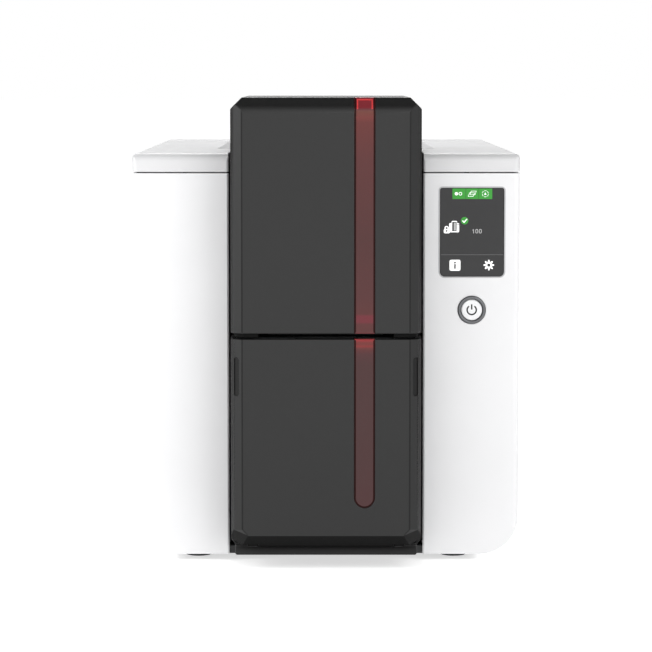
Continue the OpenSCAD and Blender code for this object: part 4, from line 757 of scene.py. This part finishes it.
# the machine: its foot with a roll and a spindle, body, hopper, slot with a card, mark and lever
drawn(softOutline((-14.9, -0.55), (-11.8, 1.75), 0.6), "white")
drawn(discOutline((-13.4, 2.2), 1.15, 24), "white", 2, discOutline((-13.4, 2.2), 0.55, 24))
drawn(discOutline((-13.4, 0.75), 0.5), "dark", 2)
drawn(softOutline((-12.1, 0.0), (-6.8, 4.8), 0.5), "white")
drawn(softOutline((-10.8, 4.2), (-7.9, 6.0), 0.6), "white")
drawn(softOutline((-10.5, 0.5), (-8.1, 5.5), 0.4), "dark", 2)
drawn(rectangle((-9.6, 0.9), (-8.5, 5.1)), "grey", 3)
drawn(rectangle((-7.9, 3.85), (-6.8, 4.15)), "dark", 2)
drawnLine([(-12.2, 2.2), (-12.2, 3.4)], 0.3, "dark")

# a hundred in plain digits
stroke = panel["digitStroke"]
drawnLine([(0.85, -0.45), (0.85, 1.55)], stroke, "grey", 1)
drawnLine([(0.4, 1.1), (0.85, 1.55)], stroke, "grey", 1)
(x0, z0), (x1, z1), roundness = panel["zero"]
for start in panel["zerosAt"]:
    outer, inner = (softOutline((start + x0 + inset, z0 + inset), (start + x1 - inset, z1 - inset),
                                roundness - inset, 4) for inset in (0, stroke))
    drawn(outer, "grey", 1, inner)

halfGlass = (glassHigh.x - glassLow.x) / 2 - 0.5
drawn(rectangle((-halfGlass, panel["rule"][0]), (halfGlass, panel["rule"][1])), "rule")
drawn(softOutline(*panel["key"], 0.9), "white")
keyX, keyZ = ((a + b) / 2 for a, b in zip(*panel["key"]))
drawn(discOutline((keyX, keyZ + 1.4), 0.5), "dark", 2)
drawnLine([(keyX, keyZ + 0.3), (keyX, keyZ - 1.5)], 0.85, "dark")
gearRing = [discOutline(panel["gear"], radius, 1, 360 * i / panel["gearTeeth"] + offset, 1)[0]
            for i in range(panel["gearTeeth"]) for offset, radius in panel["gearShape"]]
gearHole = discOutline(panel["gear"], panel["gearHole"], len(gearRing), panel["gearShape"][0][0])
drawn(gearRing, "white", 1, gearHole)
settle(newPiece("screenPicture", picture, *(litPicture("picture" + colour.capitalize(), *look)
                                            for colour, look in tint.items()), loose=True),
       "screen_glass", "screen_glass")

# fine raised bead round the glass, its grey a painted shade of the glass's rim
bead = {"gap": 0.12, "wide": 0.68, "proud": 0.12, "rooted": 0.1, "corners": (1.2, 1.2, 2.5, 2.5)}
shellFront = boxOf("right_shell")[0].y
inner, outer = (softOutline((glassLow.x - grow, glassLow.z - grow), (glassHigh.x + grow, glassHigh.z + grow),
                            tuple(r + grow for r in bead["corners"]), 6)
                for grow in (bead["gap"], bead["gap"] + bead["wide"]))
beadWork = bmesh.new()
addPlate(beadWork, outer, shellFront - bead["proud"], shellFront + bead["rooted"], hole=inner)
settle(newPiece("glassBead", beadWork, mouldedAbs("paintedRimShadeAbs", "#b4b4b6", 0.42), loose=True),
       "right_shell", "white_plastic")

# stand-by sign printed on the cap: an open ring and a bar
sign = {"radius": 2.43, "width": 0.74, "gap": 42, "bar": (0.55, 2.75), "ink": 0.03, "sunk": 0.02}
cap = middleOf("power_button")
capFront = boxOf("power_button")[0].y
glyph = bmesh.new()
start, turn = 90 + sign["gap"], 360 - 2 * sign["gap"]
for outline in (arcOutline((cap.x, cap.z), sign["radius"], sign["width"], start, turn, 48),
                strokeOutline(*((cap.x, cap.z + height) for height in sign["bar"]), sign["width"], 8)):
    addPlate(glyph, outline, capFront - sign["ink"], capFront + sign["sunk"])
glyphInk = mouldedAbs("padPrintedInk", "#1c1c1c", 0.7, grainDepth=0.004, ior=1.25)
settle(newPiece("standbySign", glyph, glyphInk, loose=True), "power_button", "button_plastic")
print("screen picture and stand-by sign")

# toothed belt round the pulleys of the two outer rollers, the platen and the motor
belt = {"gap": 0.05, "thick": 1.2, "toothDeep": 0.5, "toothWide": 1.0, "pitch": 2.032, "stepDegrees": 6,
        "wheels": (("front_roller", 7), ("platen_shaft", 11), ("rear_roller", 7), ("motor_pulley", 7))}
beltLow, beltHigh = boxOf("drive_belt")
wheelTurns = [(middleOf(node).y, middleOf(node).z, radius + belt["gap"]) for node, radius in belt["wheels"]]


def wrapped(wheels, grow):  # points and outward ways of a loop laid round the wheels
    leaving = []
    for (y, z, r), (nextY, nextZ, nextR) in zip(wheels, wheels[1:] + wheels[:1]):
        reach = math.hypot(nextY - y, nextZ - z)
        leaving.append(math.atan2(nextZ - z, nextY - y) + math.acos((r - nextR) / reach))
    path = []
    for i, (y, z, r) in enumerate(wheels):
        turn = (leaving[i - 1] - leaving[i]) % math.tau
        steps = max(1, round(math.degrees(turn) / belt["stepDegrees"]))
        for k in range(steps + 1):
            angle = leaving[i - 1] - turn * k / steps
            path.append(((y + (r + grow) * math.cos(angle), z + (r + grow) * math.sin(angle)),
                         (math.cos(angle), math.sin(angle))))
    return path


band = bmesh.new()
loop = wrapped(wheelTurns, belt["toothDeep"])
backing = belt["thick"] - belt["toothDeep"]
bandCorners = ((beltLow.x, 0), (beltHigh.x, 0), (beltHigh.x, backing), (beltLow.x, backing))
addSkin(band, [[(x, y + outY * lift, z + outZ * lift) for x, lift in bandCorners]
               for (y, z), (outY, outZ) in loop], "circle")
settle(newPiece("beltBand", band, finish["belt_rubber"], loose=True), "drive_belt", "belt_rubber",
       "drive_belt")

tooth = bmesh.new()
toothSection = ((-0.5, 0.0), (-0.38, -0.42), (-0.25, -0.5), (0.25, -0.5), (0.38, -0.42), (0.5, 0.0),
                (0.5, 0.15), (-0.5, 0.15))
halfBelt = (beltHigh.x - beltLow.x) / 2
addSkin(tooth, [[(x, y * belt["toothWide"], z) for y, z in toothSection] for x in (-halfBelt, halfBelt)])
toothForm = newPiece("toothForm", tooth, finish["belt_rubber"], loose=True)
lengths = [0.0]
for here, there in zip(loop, loop[1:] + loop[:1]):
    lengths.append(lengths[-1] + math.dist(here[0], there[0]))
teeth = round(lengths[-1] / belt["pitch"])
toothPlaces = []
for i in range(teeth):
    at = lengths[-1] * i / teeth
    k = max(j for j in range(len(loop)) if lengths[j] <= at)
    share = (at - lengths[k]) / max(lengths[k + 1] - lengths[k], 1e-9)
    (y, z), out = ([a + (b - a) * share for a, b in zip(here, there)]
                   for here, there in zip(loop[k], loop[(k + 1) % len(loop)]))
    toothPlaces.append((((beltLow.x + beltHigh.x) / 2, y, z), (0, *out), (1, 0, 0)))
repeated("beltTeeth", toothForm, toothPlaces, "drive_belt", "belt_rubber")
print("belt teeth:", teeth)

# return spring of the power button: a wound wire, which on the real button closes up as it goes in; it is
# built here at rest
springLow, springHigh = boxOf("button_spring")
springLong = springHigh.y - springLow.y
springEnd = Vector(((springLow.x + springHigh.x) / 2, springHigh.y, (springLow.z + springHigh.z) / 2))
spring = {"wire": 0.35, "coil": (springHigh.z - springLow.z) / 2 - 0.35, "turns": 5.5, "travel": 1.2}
coilTree, coilIn = newGeometryTree("woundWire", {"Turns": "Float", "Coil": "Float", "Wire": "Float",
                                                 "Length": "Float"})
helix = addNode(coilTree, "GeometryNodeCurveSpiral", {
    "Resolution": 40, "Rotations": coilIn["Turns"], "Start Radius": coilIn["Coil"],
    "End Radius": coilIn["Coil"], "Height": coilIn["Length"]})
wireRound = addNode(coilTree, "GeometryNodeCurvePrimitiveCircle", {
    "Resolution": 12, "Radius": coilIn["Wire"]})
ended(coilTree, coilIn, addNode(coilTree, "GeometryNodeCurveToMesh", {
    "Fill Caps": True, "Curve": helix, "Profile Curve": wireRound}))
coil = grown("buttonCoil", coilTree, bpy.data.meshes.new("coilSeed"), {
    "Turns": spring["turns"], "Coil": spring["coil"] * mm, "Wire": spring["wire"] * mm,
    "Length": (springLong - 2 * spring["wire"]) * mm, "Finish": finish["shaft_steel"]})
coil.data.transform(Matrix.Translation((springEnd - Vector((0, spring["wire"], 0))) * mm)
                    @ Matrix.Rotation(math.radians(90), 4, "X"))
coil.data.polygons.foreach_set("use_smooth", [True] * len(coil.data.polygons))
settle(coil, "button_spring", "shaft_steel", "button_spring")
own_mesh(coil)
print("coil spring")

# fan rotor: a cup-shaped hub and seven swept blades, which get thinner and flatter towards their tips
rotorBack = boxOf("fan_rotor")[1].y
rotor = {"root": 7.6, "tip": 17.5, "deep": 7, "blades": 7, "spans": 7, "chords": 9, "thick": 1.1,
         "camber": 1.8, "rootPitch": 52, "tipPitch": 36, "rootChord": 7.2, "tipChord": 8.4, "sweep": 0.22,
         "halfDeep": 3.2}
rotorX, rotorZ = middleOf("fan_rotor").x, middleOf("fan_rotor").z
hub = turnedForm([(0, -2.0), (1.5, -2.0), (1.5, 0.0), (7.4, 0.0), (8.0, 0.6), (8.0, 6.2), (7.8, 6.75),
                  (7.2, 7.0), (4.2, 7.0), (3.9, 6.7), (0, 6.7)], 56)
hub.transform(Matrix.Translation(Vector((rotorX, rotorBack - rotor["deep"], rotorZ)) * mm)
              @ Matrix.Rotation(math.radians(-90), 4, "X"))
settle(newPiece("fanHub", hub, finish["black_plastic"]), "fan_rotor", "black_plastic", "fan_rotor")


def bladePoint(t, u, side):  # t from root to tip, u from -0.5 to 0.5 across the blade, side below or above
    radius = rotor["root"] + (rotor["tip"] - rotor["root"]) * t
    pitch = math.radians(rotor["rootPitch"] + (rotor["tipPitch"] - rotor["rootPitch"]) * t)
    along = u * (rotor["rootChord"] + (rotor["tipChord"] - rotor["rootChord"]) * t)
    thick = rotor["thick"] * (1 - 0.5 * t) * math.sqrt(max(0.0, 1 - (2 * u) ** 2 * 0.92))
    offset = rotor["camber"] * (0.25 - u * u) + side * thick / 2
    across = along * math.cos(pitch) - offset * math.sin(pitch)
    depth = along * math.sin(pitch) + offset * math.cos(pitch)
    depth = max(-rotor["halfDeep"], min(rotor["halfDeep"], depth))
    angle = across / radius + rotor["sweep"] * t * t
    return radius * math.cos(angle), radius * math.sin(angle), depth


blade = bmesh.new()
chords = [k / rotor["chords"] - 0.5 for k in range(rotor["chords"] + 1)]
rows = addSkin(blade, [[bladePoint(i / rotor["spans"], u, -1) for u in chords]
                       + [bladePoint(i / rotor["spans"], u, 1) for u in reversed(chords)]
                       for i in range(rotor["spans"] + 1)], "open")
for row in (rows[0], rows[-1]):
    for k in range(rotor["chords"]):
        blade.faces.new((row[k], row[k + 1], row[-2 - k], row[-1 - k]))
bladeForm = newPiece("bladeForm", blade, finish["black_plastic"], loose=True)
bladeWays = [math.tau * i / rotor["blades"] for i in range(rotor["blades"])]
repeated("fanBlades", bladeForm, [((rotorX, rotorBack - rotor["deep"] / 2, rotorZ), (0, 1, 0),
                                   (math.cos(way), 0, math.sin(way))) for way in bladeWays],
         "fan_rotor", "black_plastic")
print("fan rotor")


def screwForm(name, headRadius, headHigh, shankRadius, shankLong):  # pan head with a cross recess, top at +Z
    head = turnedForm([(0, -shankLong), (shankRadius, -shankLong), (shankRadius, 0), (headRadius, 0),
                       (headRadius, headHigh * 0.4), (headRadius * 0.92, headHigh * 0.72),
                       (headRadius * 0.72, headHigh * 0.93), (headRadius * 0.4, headHigh), (0, headHigh)], 28)
    piece = newPiece(name, head, finish["zinc_steel"])
    cross = bmesh.new()
    reach, wide = headRadius * 0.58, headRadius * 0.13
    points = [(wide, wide), (wide, reach), (-wide, reach), (-wide, wide), (-reach, wide), (-reach, -wide),
              (-wide, -wide), (-wide, -reach), (wide, -reach), (wide, -wide), (reach, -wide), (reach, wide)]
    addSkin(cross, [[(x * size, y * size, z) for x, y in points]
                    for z, size in ((headHigh * 0.35, 0.6), (headHigh + 0.3, 1.06))])
    punch = newPiece("crossPunch", cross, loose=True)
    modified(piece, "crossRecess", "BOOLEAN", operation="DIFFERENCE", object=punch, solver="EXACT")
    applied(piece)
    bpy.data.objects.remove(punch)
    return piece


def screwed(name, form, node, top, points, seed):  # screws at several points, heads towards top
    side = (0, 0, 1) if abs(top[2]) < 0.5 else (1, 0, 0)
    return repeated(name, form, [(point, top, side) for point in points], node, "zinc_steel", math.tau, seed)


screwSizes = {"largeScrew": (2.9, 1.6, 1.5, 6.0), "smallScrew": (1.9, 1.1, 0.9, 2.0)}
largeScrew, smallScrew = (screwForm(name, *sizes) for name, sizes in screwSizes.items())
screwed("rearCoverScrews", largeScrew, "rear_cover", (0, 1, 0), rearScrews, 3)
low, high = boxOf("base_screws")
trayScrews = screwed("trayScrews", largeScrew, "base_screws", (0, 0, -1), [
    (x, y, low.z + 1.6) for x in (low.x + 3, high.x - 3) for y in (low.y + 3, high.y - 3)], 5)
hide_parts("base_screws")
bpy.data.objects.remove(bpy.data.objects["base_screws_piece"])

fan, pinion = middleOf("fan_frame"), middleOf("ribbon_pinion")
motorY, motorZ = middleOf("transport_motor").y, middleOf("motor_pulley").z
leftPlate, rightPlate = boxOf("chassis_left")[0].x, boxOf("chassis_right")[1].x
rodLow, rodHigh = boxOf("chassis_rods")
rods = [(rodLow.y + 3, rodLow.z + 3), (rodHigh.y - 3, rodLow.z + 3), (rodHigh.y - 3, rodHigh.z - 3)]
ear = {"reach": 16, "way": math.radians(125)}
mainBoard = {"face": 55.6, "legPitch": 1.6,
             "chips": (((56, 84), (80, 108), 58), ((96, 86), (110, 100), 57.5))}
fixings = {
    "fanScrews": ("fan_frame", (0, -1, 0), [(fan.x + x, boxOf("fan_frame")[0].y, fan.z + z)
                                            for x in (-16, 16) for z in (-16, 16)]),
    "motorScrews": ("chassis_left", (-1, 0, 0), [(leftPlate, motorY + y, motorZ + z)
                                                 for y in (-15.5, 15.5) for z in (-15.5, 15.5)]),
    "leftRodScrews": ("chassis_left", (-1, 0, 0), [(leftPlate, *rod) for rod in rods]),
    "rightRodScrews": ("chassis_right", (1, 0, 0), [(rightPlate, *rod) for rod in rods]),
    "ribbonMotorScrews": ("ribbon_motor", (-1, 0, 0), [
        (-50.5, pinion.y + reach * math.cos(ear["way"]), pinion.z + reach * math.sin(ear["way"]))
        for reach in (-ear["reach"], ear["reach"])]),
    "boardScrews": ("main_board", (1, 0, 0), [(mainBoard["face"], y, z)
                                              for y in (46, 91) for z in (98, 122)]),
    "controlScrews": ("control_board", (0, 1, 0), [(x, -140.9, z)
                                                   for x in (58.7, 95.7) for z in (126.2, 146.7)]),
    "doorLinerScrews": ("door_liner", (0, 1, 0), [(x, boxOf("door_liner")[1].y, z) for x in (-38, 38)
                                                  for z in (34, 104)]),
}
for seed, (name, (node, top, points)) in enumerate(fixings.items(), 10):
    screwed(name, smallScrew, node, top, points, seed)
print("screws:", len(rearScrews) + 4 + sum(len(points) for node, top, points in fixings.values()))

# legs of the two chips on the main board: bent strips
leg = bmesh.new()
legSection = ((0.0, 0.9), (0.5, 0.9), (0.75, 0.35), (1.3, 0.2), (1.3, 0.0), (0.6, 0.15), (0.35, 0.7),
              (0.0, 0.7))
addSkin(leg, [[(out, across, up) for out, up in legSection] for across in (-0.3, 0.3)])
legForm = newPiece("legForm", leg, finish["socket_tin"], loose=True)
legPlaces = []
for (y0, z0), (y1, z1), top in mainBoard["chips"]:
    count = int((y1 - y0 - 2) / mainBoard["legPitch"])
    for i in range(count + 1):
        step = (i - count / 2) * mainBoard["legPitch"]
        y, z = (y0 + y1) / 2 + step, (z0 + z1) / 2 + step
        legPlaces += [((mainBoard["face"], *foot), (1, 0, 0), way) for foot, way in (
            ((y0, z), (0, -1, 0)), ((y1, z), (0, 1, 0)), ((y, z0), (0, 0, -1)), ((y, z1), (0, 0, 1)))]
repeated("chipLegs", legForm, legPlaces, "main_board", "socket_tin")

# sprung contacts in the network socket and on the tongue of the other one
contact = bmesh.new()
addBar(contact, (-0.2, -0.15, -4), (0.2, 0.15, 4))
contactForm = newPiece("contactForm", contact, goldContact)
socketBack = boxOf("data_sockets")[1].y
contactPlaces = [((65.2, socketBack - 7, 66.5 + i), (0, 1, 0.12), (0, 0, 1)) for i in range(8)]
contactPlaces += [((x, socketBack - 5.5, z), (0, 1, 0), (1, 0, 0))
                  for x in (60.7, 63.3) for z in (45.35, 48.65)]
repeated("socketContacts", contactForm, contactPlaces, "data_sockets", "socket_tin", material=goldContact)


# parts of mixed make: steel shafts under rubber sleeves, acetal pulleys where the belt runs, epoxy
# chips on the boards and so on. Each test takes a face's centre
def beyond(limit):
    return lambda at: abs(at.x) > limit


def onPulley(at):
    return beltLow.x - 1.5 < at.x < beltHigh.x + 1.5


def within(low, high):
    return lambda at: all(a - 0.06 <= c <= b + 0.06 for a, c, b in zip(low, at, high))


steelShaft, acetal, bareMetal, plated = (finish[slot] for slot in (
    "shaft_steel", "gear_plastic", "sink_aluminium", "sheet_steel"))
displayBack = boxOf("control_board")[0].y
feedLow, feedHigh = boxOf("feed_motor")
face = mainBoard["face"] + 0.1
makeup = {
    "front_roller": [(steelShaft, beyond(28.1)), (acetal, onPulley)],
    "rear_roller": [(steelShaft, beyond(28.1)), (acetal, onPulley)],
    "platen_shaft": [(acetal, onPulley)],
    "motor_pulley": [(acetal, onPulley)],
    "feed_roller": [(steelShaft, beyond(12.1))],
    "cleaning_roller": [(steelShaft, beyond(28.1))],
    "front_pinch": [(steelShaft, beyond(24.1))],
    "rear_pinch": [(steelShaft, beyond(24.1))],
    "takeup_spool": [(woundFilm("woundTakeup", "takeup_spool"), lambda at: abs(at.x) < 28.1)],
    # chips, capacitors in sleeves with bare tops, a plug strip and steel pillars
    "main_board": [(chipEpoxy, within((face, y0, z0), (top, y1, z1)))
                   for (y0, z0), (y1, z1), top in mainBoard["chips"]] + [
        (capSleeve, within((face, 48, 28), (69, 88, 40))),
        (bareMetal, within((68.7, 48, 28), (69.2, 88, 40))),
        (nylonPlug, within((face, 44, 52), (64, 76, 60))),
        (finish["zinc_steel"], within((40, 36, 90), (53.9, 100, 128)))],
    "control_board": [(finish["black_plastic"], within((56, displayBack, 140), (98.5, -142.6, 202))),
                      (finish["black_plastic"], within((70, -144.5, 128), (84, -142.6, 140.2)))],
    # a dark insert in the network socket, a pale tongue in the other, a plated inlet pin
    "data_sockets": [(chipEpoxy, within((59.7, 178, 64.2), (67.5, socketBack - 0.1, 75.8))),
                     (nylonPlug, within((59.3, 178, 45.5), (64.7, socketBack - 0.9, 48.5)))],
    "power_inlet": [(goldContact, within((60.8, 178, 24.8), (63.2, 189.3, 27.2)))],
    # bare end caps on the transport motor's laminated stack, plated ears and a gearbox on the others
    "transport_motor": [(bareMetal, lambda at: at.x < -30.9 or at.x > -15.1)],
    "ribbon_motor": [(plated, lambda at: at.x > -50.55)],
    "feed_motor": [(acetal, lambda at: at.z > feedHigh.z - 11.6 and at.x > feedLow.x + 2.1),
                   (plated, lambda at: at.x < feedLow.x + 2.1 and at.z > feedHigh.z - 14.6)],
}
for node, zones in makeup.items():
    zoned(node, zones)
bpy.data.objects["supply_roll_piece"].data.materials[0] = woundFilm("woundRibbon", "supply_roll")
print("zones on", len(makeup), "pieces")

# finger ridges across the thickness gauge's knob
gaugeLow, gaugeHigh = boxOf("thickness_gauge")
ridges = {"count": 6, "pitch": 1.9, "halfWide": 0.45, "proud": 0.5, "sunk": 0.1, "fromSide": 0.8,
          "round": 0.2, "middle": gaugeHigh.z - 7}
halfLong, halfWide = (gaugeHigh.x - gaugeLow.x) / 2 - ridges["fromSide"], ridges["halfWide"]
ridge = bmesh.new()
addBar(ridge, (-halfLong, -halfWide, -ridges["sunk"]), (halfLong, halfWide, ridges["proud"]))
bmesh.ops.bevel(ridge, geom=ridge.edges, offset=ridges["round"] * mm, segments=2, affect="EDGES")
ridgeForm = newPiece("ridgeForm", ridge)
ridgeHeights = [ridges["middle"] + (k - (ridges["count"] - 1) / 2) * ridges["pitch"]
                for k in range(ridges["count"])]
repeated("gaugeRidges", ridgeForm, [(((gaugeLow.x + gaugeHigh.x) / 2, gaugeHigh.y, z), (0, 1, 0), (1, 0, 0))
                                    for z in ridgeHeights], "thickness_gauge", "gauge_plastic")
for form in (toothForm, bladeForm, largeScrew, smallScrew, legForm, contactForm, ridgeForm):
    bpy.data.objects.remove(form)

# studio: white paper lit a little from below, more so further out, so that it runs into the white
# behind it, a soft wall in front and a faint one behind, and four softboxes
studio = {
    "floorSize": 60, "floorColour": "#f2f2f2", "glowNear": 0.62, "glowFar": 0.88, "glowFrom": 0.5,
    "glowTo": 2.0, "wallFront": 1.68, "wallBehind": 0.1, "wallBlend": 0.05, "aim": (0, -0.1, 0.12),
    "boxes": {"leftBox": (1.0, 19.8, (-1.8, -0.9, 0.9)), "rightBox": (1.0, 7.6, (0.9, -1.5, 0.9)),
              "farRightBox": (1.0, 2.6, (1.8, -0.9, 0.9)), "rearBox": (1.4, 34.0, (0.0, 1.6, 1.7))},
}
paper = bmesh.new()
bmesh.ops.create_grid(paper, x_segments=1, y_segments=1, size=studio["floorSize"] / 2)
whitePaper, floorTree, floorShader, floorPlace = floorMade = newFinish("whitePaper", {
    "Roughness": 0.9, "Specular IOR Level": 0.0, "Emission Color": (1, 1, 1, 1)})
patterned(floorMade, (speckled(floorMade, 3), [
    (0.3, studio["floorColour"], 0.99), (0.7, studio["floorColour"])]))
outward = addNode(floorTree, "ShaderNodeVectorMath", {0: floorPlace}, operation="LENGTH").outputs["Value"]
fed(floorShader, {"Emission Strength": addNode(floorTree, "ShaderNodeMapRange", {
    "Value": outward, "From Min": studio["glowFrom"], "From Max": studio["glowTo"],
    "To Min": studio["glowNear"], "To Max": studio["glowFar"]})})
newPiece("paperFloor", paper, whitePaper)

world = bpy.data.worlds.new("softStudio")
bpy.context.scene.world = world
world.use_nodes = True
worldTree = world.node_tree
around = addNode(worldTree, "ShaderNodeTexCoord", {}).outputs["Generated"]
depth = addNode(worldTree, "ShaderNodeSeparateXYZ", {"Vector": around}).outputs["Y"]
wall = addNode(worldTree, "ShaderNodeMapRange", {
    "Value": depth, "From Min": -studio["wallBlend"], "From Max": studio["wallBlend"],
    "To Min": studio["wallFront"], "To Max": studio["wallBehind"]})
squared = addNode(worldTree, "ShaderNodeMath", {0: depth, 1: depth}, operation="MULTIPLY")
glow = addNode(worldTree, "ShaderNodeMath", {0: squared, 1: wall}, operation="MULTIPLY")
seen = addNode(worldTree, "ShaderNodeLightPath", {}).outputs["Is Camera Ray"]
backdrop = addNode(worldTree, "ShaderNodeMix", {0: seen, 6: glow, 7: (1, 1, 1, 1)}, data_type="RGBA")
fed(worldTree.nodes["Background"], {"Color": backdrop.outputs[2]})

for name, (size, power, place) in studio["boxes"].items():
    data = bpy.data.lights.new(name, "AREA")
    data.shape = "SQUARE"
    data.size = size
    data.energy = power
    light = newObject(name, data)
    light.location = place
    light.rotation_euler = (Vector(studio["aim"]) - Vector(place)).to_track_quat("-Z", "Y").to_euler()
print("studio ready")
